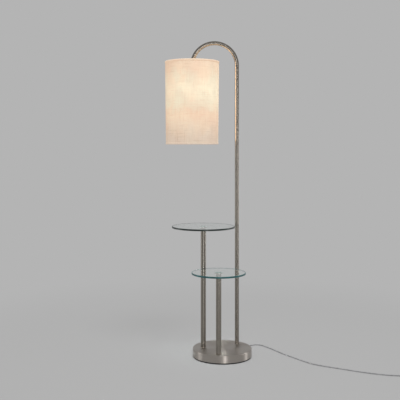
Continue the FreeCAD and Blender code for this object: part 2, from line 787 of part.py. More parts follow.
def make_shelves():
    """Each glass disc with the hub bonded under it."""
    for name in ("upper", "lower"):
        x = name + "_pole_x"
        y = name + "_pole_y"
        radius = name + "_glass_radius"
        glass = disc(name + "_shelf_glass", radius, name + "_glass_z", name + "_glass_top", x, y)
        low = circle_at(radius, name + "_glass_z")
        high = circle_at(radius, name + "_glass_top")
        round_edges(glass, name + "_glass_edge", "glass_edge_round",
                    lambda edge, low=low, high=high: low(edge) or high(edge))
        node(glass, name + "_shelf_glass")
        node(disc(name + "_bond_pad", "hub_radius", name + "_bond_z", name + "_glass_z", x, y),
             name + "_bond_pad")
        node(turned(name + "_hub", [
            ("on_axis", name + "_stud_z"), ("stud_radius", name + "_stud_z"),
            ("stud_radius", name + "_pole_top_z"), ("hub_radius", name + "_pole_top_z"),
            ("hub_radius", name + "_bond_z"), ("on_axis", name + "_bond_z"),
        ], x, y), name + "_hub")


# ---------------------------------------------------------------- stem and arch
def make_stem():
    """The stem's straight sections, the arch, and the screwed joints between them."""
    here = ("stem_x", "stem_y")
    node(sleeve("stem_lower", "stem_bore_radius", "stem_radius", "cover_top_z", "lower_seam_z",
                *here), "stem_lower")
    node(sleeve("stem_upper", "stem_bore_radius", "stem_radius", "lower_seam_z", "upper_seam_z",
                *here), "stem_upper")
    node(sleeve("stem_foot_insert", "thread_bore_radius", "stem_insert_radius", "cover_top_z",
                "foot_insert_top_z", *here), "stem_foot_insert")
    node(sleeve("stem_foot_nipple", "nipple_bore_radius", "bolt_radius", "nipple_bottom_z",
                "bolt_top_z", *here), "stem_foot_nipple")
    nut = hexagon("stem_nut_blank", "nut_height", "stem_x", "stem_y", "nut_z")
    thread = cylinder("stem_nut_thread", "thread_bore_radius", "nut_height", "stem_x", "stem_y",
                      "nut_z")
    node(cut("stem_foot_nut", nut, thread), "stem_foot_nut")

    inserts = []
    nipples = []
    for name in ("lower", "upper"):
        seam = name + "_seam_z"
        for side in (-1, 1):
            insert = sleeve("%s_joint_insert_%s" % (name, "below" if side < 0 else "above"),
                            "thread_bore_radius", "stem_insert_radius", "on_axis",
                            "joint_insert_height", *here)
            put(insert, z=name + "_joint_insert_z" if side < 0 else seam)
            inserts.append(insert)
        nipple = sleeve(name + "_joint_nipple", "nipple_bore_radius", "bolt_radius", "on_axis",
                        "joint_nipple_length", *here)
        put(nipple, z=name + "_nipple_z")
        nipples.append(nipple)
    node(group("stem_joint_inserts", *inserts), "stem_joint_inserts")
    node(group("stem_joint_nipples", *nipples), "stem_joint_nipples")

    arch = doc.addObject("PartDesign::Body", "arch_tube")
    spine = new_sketch(arch, "arch_route", "XZ_Plane")
    seam = size("upper_seam_z")
    spring = size("arch_centre_z")
    radius = size("arch_radius")
    spine.addGeometry(Part.LineSegment(Vector(0, seam, 0), Vector(0, spring, 0)), False)
    half = Part.ArcOfCircle(Part.Circle(Vector(-radius, spring, 0), UP, radius), 0, math.pi)
    spine.addGeometry(half, False)
    spine.addGeometry(Part.LineSegment(Vector(-2 * radius, spring, 0),
                                       Vector(-2 * radius, size("drop_end_z"), 0)), False)
    spine.addConstraint(Sketcher.Constraint("Tangent", 0, 2, 1, 1))
    spine.addConstraint(Sketcher.Constraint("Tangent", 1, 2, 2, 1))
    drive_point(spine, 0, 1, "on_axis", "upper_seam_z")
    drive_point(spine, 0, 2, "on_axis", "arch_centre_z")
    bend = spine.addConstraint(Sketcher.Constraint("Radius", 1, radius))
    spine.setExpression("Constraints[%d]" % bend, "Sizes.arch_radius")
    level = spine.addConstraint(Sketcher.Constraint("DistanceY", 0, 2, 1, 2, 0.0))
    spine.renameConstraint(level, "half_turn")
    end = spine.addConstraint(Sketcher.Constraint("DistanceY", -1, 1, 2, 2, size("drop_end_z")))
    spine.setExpression("Constraints[%d]" % end, "Sizes.drop_end_z")
    ring = circle_sketch(arch, "arch_section", [("on_axis", "on_axis", "stem_radius"),
                                                ("on_axis", "on_axis", "stem_bore_radius")],
                         "upper_seam_z")
    pipe = arch.newObject("PartDesign::AdditivePipe", "arch_bend")
    pipe.Profile = ring
    pipe.Spine = (spine, [])
    put(arch, *here)
    node(arch, "arch_tube")
    node(sleeve("arch_end_insert", "thread_bore_radius", "stem_insert_radius", "drop_end_z",
                "drop_insert_top_z", "head_x", "stem_y"), "arch_end_insert")


def make_inner_cable():
    """The flex inside the lamp: gland, channel, stem, arch and down to the lampholder."""
    radius = size("cord_radius")
    stem = (size("stem_x"), size("stem_y"))
    head = (size("head_x"), size("stem_y"))
    crown = size("arch_centre_z") + size("arch_radius")
    points = [
        exit_point(size("base_radius")),
        exit_point(size("weight_radius") - size("channel_width") / 2),
        channel_start(),
        Vector(stem[0], stem[1], crown),
        Vector(head[0], head[1], crown),
        Vector(head[0], head[1], size("core_z") + size("core_height")),
    ]
    bend = size("nipple_bottom_z") - size("exit_z") - 1
    radii = [3 * bend, bend, size("arch_radius"), size("arch_radius")]
    route = rounded_route(points, radii)
    piece = plain("inner_cable", tube_along(route, radius))
    print("inner_cable: length %.1f, volume / (section x length) %.5f" % (
        route.Length, piece.Shape.Volume / (math.pi * radius ** 2 * route.Length)))
    node(piece, "inner_cable")


# ---------------------------------------------------------------- lampholder, ring and bulb
def make_lampholder():
    """The lampholder on the end of the arch, and the ring that clamps the shade to it."""
    here = ("head_x", "stem_y")
    node(sleeve("head_nipple", "nipple_bore_radius", "bolt_radius", "head_nipple_z",
                "head_nipple_top_z", *here), "head_nipple")
    node(turned("lampholder_cap", [
        ("thread_bore_radius", "holder_boss_z"), ("holder_boss_radius", "holder_boss_z"),
        ("holder_boss_radius", "holder_crown_z"),
        ("holder_cap_bore_radius", "holder_shoulder_inner_z"),
        ("holder_cap_bore_radius", "holder_z"), ("holder_cap_radius", "holder_z"),
        ("holder_cap_radius", "holder_shoulder_z"), ("holder_boss_radius", "drop_end_z"),
        ("thread_bore_radius", "drop_end_z"),
    ], *here), "lampholder_cap")
    node(sleeve("lampholder_core", "core_bore_radius", "core_radius", "core_z", "holder_z",
                *here), "lampholder_core")
    node(turned("lampholder_body", [
        ("holder_bore_radius", "holder_mouth_z"), ("holder_body_radius", "holder_mouth_z"),
        ("holder_body_radius", "flange_z"), ("holder_flange_radius", "flange_z"),
        ("holder_flange_radius", "holder_z"), ("core_pocket_radius", "holder_z"),
        ("core_pocket_radius", "core_z"), ("holder_bore_radius", "core_z"),
    ], *here), "lampholder_body")
    node(sleeve("lampholder_shell", "shell_inner_radius", "shell_outer_radius",
                "shell_bottom_z", "shell_top_z", *here), "lampholder_shell")
    node(disc("lampholder_contact", "contact_radius", "contact_z", "core_z", *here),
         "lampholder_contact")
    ring = sleeve("shade_ring", "ring_bore_radius", "ring_radius", "ring_z", "ring_top_z",
                  *here)
    node(ring, "shade_ring")


def make_bulb():
    """A screw bulb: frosted globe, driver collar, threaded cap and its end contact."""
    here = ("head_x", "stem_y")
    globe = bind(doc.addObject("Part::Sphere", "globe_outside"), Radius="bulb_radius")
    hollow = bind(doc.addObject("Part::Sphere", "globe_inside"), Radius="bulb_inner_radius")
    for ball in (globe, hollow):
        put(ball, *here, "bulb_centre_z")
    neck = bind(doc.addObject("Part::Cone", "neck_outside"), Radius2="bulb_neck_radius",
                Height="bulb_neck_length")
    throat = bind(doc.addObject("Part::Cone", "neck_inside"), Radius2="bulb_neck_inner_radius",
                  Height="bulb_neck_length")
    neck.setExpression("Radius1", "Sizes.bulb_radius * 0.96")
    throat.setExpression("Radius1", "Sizes.bulb_radius * 0.96 - Sizes.bulb_glass_thickness")
    for cone in (neck, throat):
        put(cone, *here, "bulb_centre_z")
    node(cut("bulb_glass", fuse("bulb_outside", globe, neck), fuse("bulb_inside", hollow, throat)),
         "bulb_glass")
    node(turned("bulb_collar", [
        ("on_axis", "collar_z"), ("bulb_neck_radius", "collar_z"),
        ("collar_top_radius", "collar_top_z"), ("on_axis", "collar_top_z"),
    ], *here), "bulb_collar")

    cap = cylinder("cap_core", "cap_root_radius", "cap_length", *here, "collar_top_z")
    threads = []
    pitch = size("cap_thread_pitch")
    count = int((size("cap_length") - pitch) // pitch)
    for number in range(count):
        thread = doc.addObject("Part::Torus", "cap_thread_%d" % (number + 1))
        thread.setExpression("Radius2", "Sizes.cap_crest_radius - Sizes.cap_root_radius")
        bind(thread, Radius1="cap_root_radius")
        put(thread, *here)
        thread.setExpression(
            "Placement.Base.z",
            "Sizes.collar_top_z + Sizes.cap_thread_pitch * %.1f" % (number + 1))
        threads.append(thread)
    node(fuse("bulb_screw_cap", cap, *threads), "bulb_screw_cap")
    node(cylinder("bulb_contact", "cap_contact_radius", "cap_contact_height", *here,
                  "bulb_contact_z"), "bulb_contact")


# ---------------------------------------------------------------- shade
def make_shade():
    """The drum shade: wire frame, stiff lining, fabric and the turned hems."""
    here = ("head_x", "stem_y")
    node(turned("shade_fabric", [
        ("fabric_bottom_inner_radius", "shade_bottom_z"), ("shade_bottom_radius",
                                                           "shade_bottom_z"),
        ("shade_top_radius", "shade_top_z"), ("fabric_top_inner_radius", "shade_top_z"),
    ], *here), "shade_fabric")
    node(turned("shade_lining", [
        ("lining_bottom_inner_radius", "shade_bottom_z"), ("lining_bottom_radius",
                                                           "shade_bottom_z"),
        ("lining_top_radius", "shade_top_z"), ("lining_top_inner_radius", "shade_top_z"),
    ], *here), "shade_lining")
    node(turned("shade_top_hem", [
        ("hem_top_bore_radius", "hem_top_low_z"), ("hem_top_radius", "hem_top_low_z"),
        ("hem_top_radius", "hem_top_z"), ("hem_top_inner_radius", "hem_top_z"),
        ("hem_top_inner_radius", "shade_top_z"), ("hem_top_bore_radius", "shade_top_z"),
    ], *here), "shade_top_hem")
    node(turned("shade_bottom_hem", [
        ("hem_bottom_inner_radius", "hem_bottom_z"), ("hem_bottom_radius", "hem_bottom_z"),
        ("hem_bottom_radius", "hem_bottom_high_z"), ("hem_bottom_bore_radius",
                                                     "hem_bottom_high_z"),
        ("hem_bottom_bore_radius", "shade_bottom_z"), ("hem_bottom_inner_radius",
                                                       "shade_bottom_z"),
    ], *here), "shade_bottom_hem")

    hub = sleeve("spider_hub", "spider_hub_bore_radius", "spider_hub_radius",
                 "spider_hub_z", "spider_hub_top_z", *here)
    top_wire = wire_ring("top_wire", "top_wire_ring_radius", "top_wire_z")
    arms = []
    inner = size("spider_hub_radius") - size("wire_radius") / 2
    low = (size("spider_hub_z") + size("spider_hub_top_z")) / 2
    for angle in ARM_ANGLES:
        out = Vector(math.cos(math.radians(angle)), math.sin(math.radians(angle)), 0)
        axis = Vector(size("head_x"), size("stem_y"), 0)
        start = axis + out * inner + UP * low
        end = axis + out * size("top_wire_ring_radius") + UP * size("top_wire_z")
        arm = doc.addObject("Part::Cylinder", "spider_arm_%d" % round(angle))
        bind(arm, Radius="wire_radius")
        arm.Height = (end - start).Length
        arm.Placement = FreeCAD.Placement(start, FreeCAD.Rotation(UP, end - start))
        arms.append(arm)
    bore = cylinder("spider_bore", "spider_hub_bore_radius", "ring_height", *here)
    bore.setExpression("Placement.Base.z", "Sizes.spider_hub_z - Sizes.ring_height / 2")
    node(cut("shade_spider", fuse("spider_frame", hub, top_wire, *arms), bore), "shade_spider")
    node(wire_ring("shade_bottom_ring", "bottom_wire_ring_radius", "bottom_wire_z"),
         "shade_bottom_ring")


def wire_ring(name, radius, z):
    """A closed ring of the shade's wire."""
    ring = bind(doc.addObject("Part::Torus", name), Radius1=radius, Radius2="wire_radius")
    return put(ring, "head_x", "stem_y", z)


# ---------------------------------------------------------------- flex, gland and coil
def make_gland():
    """The strain relief in the side of the base, turned about the flex."""
    flange = size("gland_flange_thickness")
    wall = size("cover_wall")
    bore = size("gland_bore_radius")
    outline = [
        (bore, -wall - flange), (size("gland_flange_radius"), -wall - flange),
        (size("gland_flange_radius"), -wall - size("seat_gap")),
        (size("gland_neck_radius"), -wall - size("seat_gap")),
        (size("gland_neck_radius"), size("seat_gap")),
        (size("gland_flange_radius"), size("seat_gap")),
        (size("gland_flange_radius"), flange), (size("gland_root_radius"), flange),
        (size("gland_tip_radius"), size("gland_length")), (bore, size("gland_length")),
    ]
    corners = [Vector(radius, 0, along) for radius, along in outline]
    face = Part.Face(Part.makePolygon(corners + corners[:1]))
    piece = plain("cord_strain_relief", face.revolve(Vector(0, 0, 0), UP, 360))
    piece.Placement = facing_out(size("base_radius"))
    node(piece, "cord_strain_relief")


def coil_point(turns):
    """Where the coil's centreline is after so many turns, and which way it runs there."""
    outer = size("coil_outer_radius")
    pitch = size("coil_pitch")
    half = size("coil_turns") / 2
    climb = 0.25  # turns either side of the middle in which it turns back and climbs a layer
    away = abs(turns - half)
    inward = half - away if away > climb else half - (climb + away ** 2 / climb) / 2
    radius = outer - pitch * inward
    rise = min(max((turns - half + climb) / (2 * climb), 0.0), 1.0)
    height = size("coil_base_z") + pitch * rise * rise * (3 - 2 * rise)
    angle = 2 * math.pi * turns
    return Vector(COIL_CENTRE[0] + radius * math.cos(angle),
                  COIL_CENTRE[1] + radius * math.sin(angle), height)


def coil_heading(turns):
    """The coil's direction after so many turns."""
    step = 1e-4
    low = max(turns - step, 0.0)
    high = min(turns + step, size("coil_turns"))
    return (coil_point(high) - coil_point(low)).normalize()


def biarc(start, along, end, out):
    """Two tangent arcs from one point and direction to another."""
    chord = end - start
    total = along + out
    closing = 2 * (1 - along.dot(out))
    middle = chord.dot(total)
    if closing < 1e-9:
        reach = chord.dot(chord) / (4 * chord.dot(out))
    else:
        reach = (-middle + math.sqrt(middle ** 2 + closing * chord.dot(chord))) / closing
    meeting = (start + end + (along - out) * reach) * 0.5
    edges = []
    for point, direction, far in ((start, along, meeting), (end, out * -1, meeting)):
        span = far - point
        side = span - direction * span.dot(direction)
        side = side.normalize()
        bow = span.dot(span) / (2 * span.dot(side))
        centre = point + side * bow
        middle_way = ((point + far) * 0.5 - centre).normalize()
        mid = centre + middle_way * bow
        edges.append(arc_between(point, mid, far))
    edges[1] = arc_between(meeting, edges[1].valueAt(
        (edges[1].FirstParameter + edges[1].LastParameter) / 2), end)
    return edges


def quarter_turns(turns):
    """Every quarter of a turn from 0 to the last."""
    return [step / 4 for step in range(int(round(turns * 4)) + 1)]


def arcs_through(point_at, heading_at, stops):
    """A smooth chain of arcs through the points of a winding."""
    edges = []
    for begin, finish in zip(stops, stops[1:]):
        edges += biarc(point_at(begin), heading_at(begin), point_at(finish), heading_at(finish))
    return edges


def make_coil():
    """The put-away flex: one tube spiralling in on the floor and out again on top of itself."""
    turns = size("coil_turns")
    heading = Vector(0, 1, 0)
    edges = [Part.LineSegment(coil_point(0) - heading * 2 * size("cord_radius"),
                              coil_point(0)).toShape()]

    def heading_at(turn):
        return heading if turn in (0, turns) else coil_heading(turn)

    edges += arcs_through(coil_point, heading_at, quarter_turns(turns))
    edges.append(Part.LineSegment(coil_point(turns),
                                  coil_point(turns) + heading * 2 * size("cord_radius")).toShape())
    route = Part.Wire(edges)
    piece = plain("cord_coil", tube_along(route, size("cord_radius")))
    print("cord_coil: length %.1f, volume / (section x length) %.5f, least gap %.2f" % (
        route.Length, piece.Shape.Volume / (math.pi * size("cord_radius") ** 2 * route.Length),
        least_gap(route) - 2 * size("cord_radius")))
    node(piece, "cord_coil")


def least_gap(route):
    """The least distance of the centreline to itself, away from neighbouring points."""
    step = size("cord_radius") / 2
    points = route.discretize(Distance=step)
    apart = int(4 * 2 * size("cord_radius") / step)
    nearest = route.Length
    for index, point in enumerate(points):
        for other in points[index + apart:]:
            nearest = min(nearest, (other - point).Length)
    return nearest


def make_tie():
    """A flat strap round the coil's turns, with a short tab."""
    place = level_at(COIL_CENTRE[0], COIL_CENTRE[1], size("tie_angle"))
    half = size("tie_width") / 2
    count = int(size("coil_turns") * 360)
    here = [place.inverse().multVec(coil_point(size("coil_turns") * step / count))
            for step in range(count + 1)]
    here = [point for point in here if point.x > 0 and abs(point.y) < half]
    slack = size("cord_radius") + size("tie_gap")
    thick = size("tie_thickness")
    inner_low = min(point.x for point in here) - slack
    inner_high = max(point.x for point in here) + slack
    floor = min(point.z for point in here) - slack
    roof = max(point.z for point in here) + slack
    outside = Part.makeBox(inner_high - inner_low + 2 * thick, 2 * half,
                           roof - floor + 2 * thick,
                           Vector(inner_low - thick, -half, floor - thick))
    inside = Part.makeBox(inner_high - inner_low, 4 * half, roof - floor,
                          Vector(inner_low, -2 * half, floor))
    tab = Part.makeBox(thick, 2 * half, size("tie_tab_length"),
                       Vector(inner_low + thick, -half, roof + thick))
    piece = plain("cord_tie", outside.cut(inside).fuse(tab).removeSplitter())
    piece.Placement = place
    node(piece, "cord_tie")


# ---------------------------------------------------------------- foot switch
def oval(name, length, width, height, lift, inset=0.0):
    """A flat block with half-round ends, along its own X axis from the flex's end."""
    long = size(length) - 2 * inset
    radius = size(width) / 2 - inset
    low = size(lift)
    straight = long - 2 * radius
    block = Part.makeBox(straight, 2 * radius, height, Vector(inset + radius, -radius, low))
    for along in (inset + radius, inset + radius + straight):
        block = block.fuse(Part.makeCylinder(radius, height, Vector(along, 0, low)))
    return block.removeSplitter()


def make_switch():
    """The foot switch on the flex: housing halves, button, spring, block, terminals, screws."""
    place = level_at(SWITCH_ENTRY[0], SWITCH_ENTRY[1], SWITCH_HEADING)
    centre = size("switch_length") / 2
    wall = size("switch_wall")
    dims = ("switch_length", "switch_width")
    entry = SWITCH_ENTRY[2]
    low = oval("low", *dims, size("switch_base_height"), "switch_lift")
    edges = [edge for edge in low.Edges if edge.BoundBox.ZMax < size("switch_lift") + 0.01]
    low = low.makeFillet(1.0, edges)
    low = low.cut(oval("hollow", *dims, size("switch_base_height"), "switch_floor_z", wall))
    cord_way = Part.makeCylinder(size("cord_hole_radius"), size("switch_length") + 2 * wall,
                                 Vector(-wall, 0, entry), Vector(1, 0, 0))
    spread = size("switch_screw_spread")
    for side in (-1, 1):
        post = Part.makeCylinder(size("screw_boss_radius"),
                                 size("switch_split_z") - size("switch_floor_z"),
                                 Vector(centre + side * spread, wall * 3.3, size("switch_floor_z")))
        low = low.fuse(post)
        bore = Part.makeCylinder(size("switch_screw_radius") + size("thread_gap"),
                                 size("switch_split_z"),
                                 Vector(centre + side * spread, wall * 3.3, 0))
        head = Part.makeCylinder(size("switch_screw_head_radius") + size("thread_gap"),
                                 size("switch_screw_head_height"),
                                 Vector(centre + side * spread, wall * 3.3, size("switch_lift")))
        low = low.cut(bore.fuse(head))
    low = low.cut(cord_way).removeSplitter()
    place_node("switch_base", low, place)

    height = size("switch_cover_height")
    top = oval("top", *dims, height, "switch_split_z")
    edges = [edge for edge in top.Edges if edge.BoundBox.ZMin > size("switch_top_z") - 0.01]
    top = top.makeFillet(size("switch_edge_round"), edges)
    top = top.cut(oval("top_hollow", *dims, height - wall, "switch_split_z", wall))
    for side in (-1, 1):
        post = Part.makeCylinder(size("screw_boss_radius"), height - wall,
                                 Vector(centre + side * spread, wall * 3.3, size("switch_split_z")))
        hole = Part.makeCylinder(size("switch_screw_radius") + size("thread_gap"),
                                 height - 2 * wall,
                                 Vector(centre + side * spread, wall * 3.3, size("switch_split_z")))
        top = top.fuse(post).cut(hole)
    top = top.cut(Part.makeCylinder(size("button_hole_radius"), height * 2,
                                    Vector(centre, 0, size("switch_split_z")))).removeSplitter()
    place_node("switch_cover", top, place)

    screws = []
    for side in (-1, 1):
        foot = Vector(centre + side * spread, wall * 3.3, size("switch_lift"))
        screw = Part.makeCylinder(size("switch_screw_head_radius"),
                                  size("switch_screw_head_height"), foot)
        screws.append(screw.fuse(Part.makeCylinder(
            size("switch_screw_radius"), size("switch_screw_length"), foot)).removeSplitter())
    place_node("switch_screws", Part.makeCompound(screws), place)

    middle = Vector(centre, 0, 0)
    block = Part.makeBox(size("block_length"), size("block_width"), size("block_height"),
                         Vector(centre - size("block_length") / 2, -size("block_width") / 2,
                                size("switch_floor_z")))
    place_node("switch_block", block, place)
    terminals = [
        Part.makeBox(size("terminal_length"), size("terminal_width"), size("terminal_height"),
                     Vector(centre + side * (size("block_length") / 2 + size("terminal_length")
                                             / 2 + size("seat_gap")) - size("terminal_length") / 2,
                            across * size("terminal_spread") / 2 - size("terminal_width") / 2,
                            size("switch_floor_z")))
        for side in (-1, 1) for across in (-1, 1)
    ]
    place_node("switch_terminals", Part.makeCompound(terminals), place)

    button_outline = [
        (0, size("button_pocket_top_z")),
        (size("button_pocket_radius"), size("button_pocket_top_z")),
        (size("button_pocket_radius"), size("button_z")),
        (size("button_flange_radius"), size("button_z")),
        (size("button_flange_radius"), size("button_flange_top_z")),
        (size("button_radius"), size("button_flange_top_z")),
        (size("button_radius"), size("button_top_z")), (0, size("button_top_z")),
    ]
    corners = [middle + Vector(radius, 0, height) for radius, height in button_outline]
    face = Part.Face(Part.makePolygon(corners + corners[:1]))
    button = face.revolve(middle, UP, 360)
    edges = [edge for edge in button.Edges if edge.BoundBox.ZMin > size("button_top_z") - 0.01
             and edge.BoundBox.XLength > size("button_radius")]
    place_node("switch_button", button.makeFillet(size("button_edge_round"), edges), place)

    wire = size("spring_wire_radius")
    bottom = size("block_top_z") + seat(wire)
    length = size("button_pocket_top_z") - seat(wire) - bottom
    pitch = length / size("spring_turns")

    def spring_point(turns):
        angle = 2 * math.pi * turns
        across = Vector(math.cos(angle), math.sin(angle), 0) * size("spring_radius")
        return middle + across + UP * (bottom + pitch * turns)

    def spring_heading(turns):
        angle = 2 * math.pi * turns
        around = Vector(-math.sin(angle), math.cos(angle), 0)
        return (around * (2 * math.pi * size("spring_radius")) + UP * pitch).normalize()

    stops = quarter_turns(size("spring_turns"))
    route = Part.Wire(arcs_through(spring_point, spring_heading, stops))
    place_node("switch_spring", tube_along(route, wire), place)


def seat(wire):
    """Half a spring wire and the gap to what it rests on."""
    return wire + size("seat_gap") / 2


def place_node(label, shape, place):
    """Names a piece that is made along X from the switch's or plug's end, and puts it there."""
    piece = plain(label, shape)
    piece.Placement = place.multiply(shape.Placement)
    node(piece, label)


# ---------------------------------------------------------------- plug
def make_plug():
    """A flat two-pin moulded plug on the flex's far end."""
    x, y, z = TAIL_ROUTE[-1]
    place = FreeCAD.Placement(Vector(x, y, z), FreeCAD.Rotation(UP, PLUG_HEADING))
    neck = Part.makeCone(size("plug_neck_radius"), size("plug_shoulder_radius"),
                         size("plug_neck_length"), Vector(0, 0, 0), Vector(1, 0, 0))
    rear = size("plug_neck_length")
    front = rear + size("plug_length")
    waist = rear + size("plug_waist_at")
    half = [
        (rear, size("plug_rear_width") / 2), (waist, size("plug_waist_width") / 2),
        (front, size("plug_front_width") / 2),
    ]
    down = -size("plug_thickness") / 2
    corners = [Vector(along, side, down) for along, side in half]
    corners += [Vector(along, -side, down) for along, side in reversed(half)]
    slab = Part.Face(Part.makePolygon(corners + corners[:1])).extrude(
        UP * size("plug_thickness"))
    slab = slab.makeFillet(size("plug_edge_round"), slab.Edges)
    body = slab.fuse(neck)
    sockets = []
    pins = []
    sleeves = []
    for side in (-1, 1):
        across = side * size("pin_spacing") / 2
        inner = Vector(front - size("pin_depth"), across, 0)
        root = size("pin_depth") + size("sleeve_length")
        sockets.append(Part.makeCylinder(size("pin_root_radius") + size("thread_gap"),
                                         size("pin_depth") + 1, inner, Vector(1, 0, 0)))
        pin = Part.makeCylinder(size("pin_root_radius"), root, inner, Vector(1, 0, 0))
        tip = Part.makeCylinder(size("pin_radius"), size("pin_length") - size("sleeve_length"),
                                Vector(front + size("sleeve_length"), across, 0), Vector(1, 0, 0))
        tip = tip.makeFillet(0.9, [edge for edge in tip.Edges
                                   if edge.BoundBox.XMin > front + size("pin_length") - 0.01])
        pins.append(pin.fuse(tip).removeSplitter())
        face = Vector(front + size("fit_gap"), across, 0)
        cover = Part.makeCylinder(size("sleeve_radius"), size("sleeve_length") - 2
                                  * size("fit_gap"), face, Vector(1, 0, 0))
        sleeves.append(cover.cut(Part.makeCylinder(size("pin_root_radius") + size("fit_gap"),
                                                   size("sleeve_length"), face, Vector(1, 0, 0))))
    body = body.cut(sockets[0]).cut(sockets[1]).removeSplitter()
    place_node("plug_body", body, place)
    place_node("plug_pins", Part.makeCompound(pins), place)
    place_node("plug_sleeves", Part.makeCompound(sleeves), place)


def make_cords():
    """The three free stretches of flex, with the coil between the last two."""
    heading = math.radians(SWITCH_HEADING)
    run = Vector(math.cos(heading), math.sin(heading), 0)
    entry = Vector(*SWITCH_ENTRY)
    into = entry + run * CORD_INTO_WALL
    leave = entry + run * (size("switch_length") - CORD_INTO_WALL)
    node(free_cord("power_cord", [exit_point(size("base_radius"))] + FLEX_ROUTE + [into]),
         "power_cord")
    node(free_cord("switch_lead", [leave] + LEAD_ROUTE), "switch_lead")
    node(free_cord("plug_lead", TAIL_ROUTE), "plug_lead")


make_base()
make_poles()
make_shelves()
make_stem()
make_inner_cable()
make_lampholder()
make_bulb()
make_shade()
make_gland()
make_cords()
make_coil()
make_tie()
make_switch()
make_plug()
doc.recompute()

# ---------------------------------------------------------------- checks and export
faults = [item.Name for item in doc.Objects
          if "Invalid" in item.State or "Error" in item.State]
for label, piece in nodes.items():
    if piece.Shape.isNull() or not piece.Shape.isValid() or not piece.Shape.Solids:
        faults.append(label)
if faults:
    raise RuntimeError("these objects are not sound: " + ", ".join(faults))
os.makedirs("parts", exist_ok=True)
for label, piece in nodes.items():
    piece.Shape.exportStep("parts/" + label + ".step")
print("%d nodes written" % len(nodes))
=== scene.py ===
"""Looks of the floor lamp with table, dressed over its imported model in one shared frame.

Metres, +Z up, the origin under the centre of the base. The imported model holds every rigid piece;
this script finishes their surfaces and adds the shade's cloth, the flex and fine detail.
"""

import logging
import math
from collections.abc import Callable, Sequence
from dataclasses import dataclass
from enum import Enum

import bmesh
import bpy
from mathutils import Matrix, Vector

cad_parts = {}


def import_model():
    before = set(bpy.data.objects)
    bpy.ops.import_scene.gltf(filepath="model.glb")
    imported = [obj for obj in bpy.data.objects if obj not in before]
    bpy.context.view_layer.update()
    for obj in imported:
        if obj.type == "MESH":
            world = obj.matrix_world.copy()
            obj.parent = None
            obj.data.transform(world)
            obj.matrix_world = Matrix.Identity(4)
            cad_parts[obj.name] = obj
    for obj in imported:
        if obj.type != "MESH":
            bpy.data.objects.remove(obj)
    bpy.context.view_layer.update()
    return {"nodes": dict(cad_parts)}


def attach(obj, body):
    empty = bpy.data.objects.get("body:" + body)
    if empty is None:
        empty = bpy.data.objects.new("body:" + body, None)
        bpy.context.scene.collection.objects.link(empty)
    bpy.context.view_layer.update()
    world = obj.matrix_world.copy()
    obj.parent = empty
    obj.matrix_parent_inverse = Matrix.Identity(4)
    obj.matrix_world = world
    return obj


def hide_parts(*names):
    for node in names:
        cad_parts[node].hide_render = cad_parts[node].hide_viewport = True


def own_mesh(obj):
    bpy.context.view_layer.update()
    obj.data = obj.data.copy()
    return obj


LOG = logging.getLogger("floor_lamp")
SHARP_EDGE = 0.9  # radians between faces, above which an edge stays sharp

Socket = bpy.types.NodeSocket
Colour = tuple[float, float, float]
Point = tuple[float, float, float]

HEAD_AXIS: Point = (-0.1445, 0.069, 0.0)
STEM_AXIS: Point = (0.0735, 0.069, 0.0)
UPPER_POLE_AXIS: Point = (-0.090, 0.006, 0.0)
LOWER_POLE_AXIS: Point = (-0.020, -0.1155, 0.0)


class Body(Enum):
    """The rigid bodies that this script's own pieces ride on."""

    FRAME = "frame"
    BUTTON = "switch_button"
    RING = "shade_ring"


class Grain(Enum):
    """Which way a brushed metal's scratches run.

    Each value says how closely they lie round, outwards and up. Along a bend it says so for
    round, sideways and along the tube.
    """

    UPRIGHT = (60.0, 0.0, 9.0)
    ROUND = (1.2, 0.0, 2600.0)
    TURNED = (1.2, 2200.0, 2200.0)
    ALONG_BEND = (0.0, 40.0, 2600.0)


@dataclass(frozen=True)
class Bend:
    """A tube's half-circle bend over an upright straight, seen from the front."""

    middle: float
    height: float
    radius: float


def linear(red: int, green: int, blue: int) -> Colour:
    """A screen colour, 0 to 255 each, as the linear colour that shaders take."""

    def channel(value: int) -> float:
        share = value / 255
        return share / 12.92 if share <= 0.04045 else ((share + 0.055) / 1.055) ** 2.4

    return channel(red), channel(green), channel(blue)


def at_height(axis: Point, height: float) -> Point:
    """The point of an upright axis at a height above the floor."""
    return axis[0], axis[1], height


# ---------------------------------------------------------------- node graphs


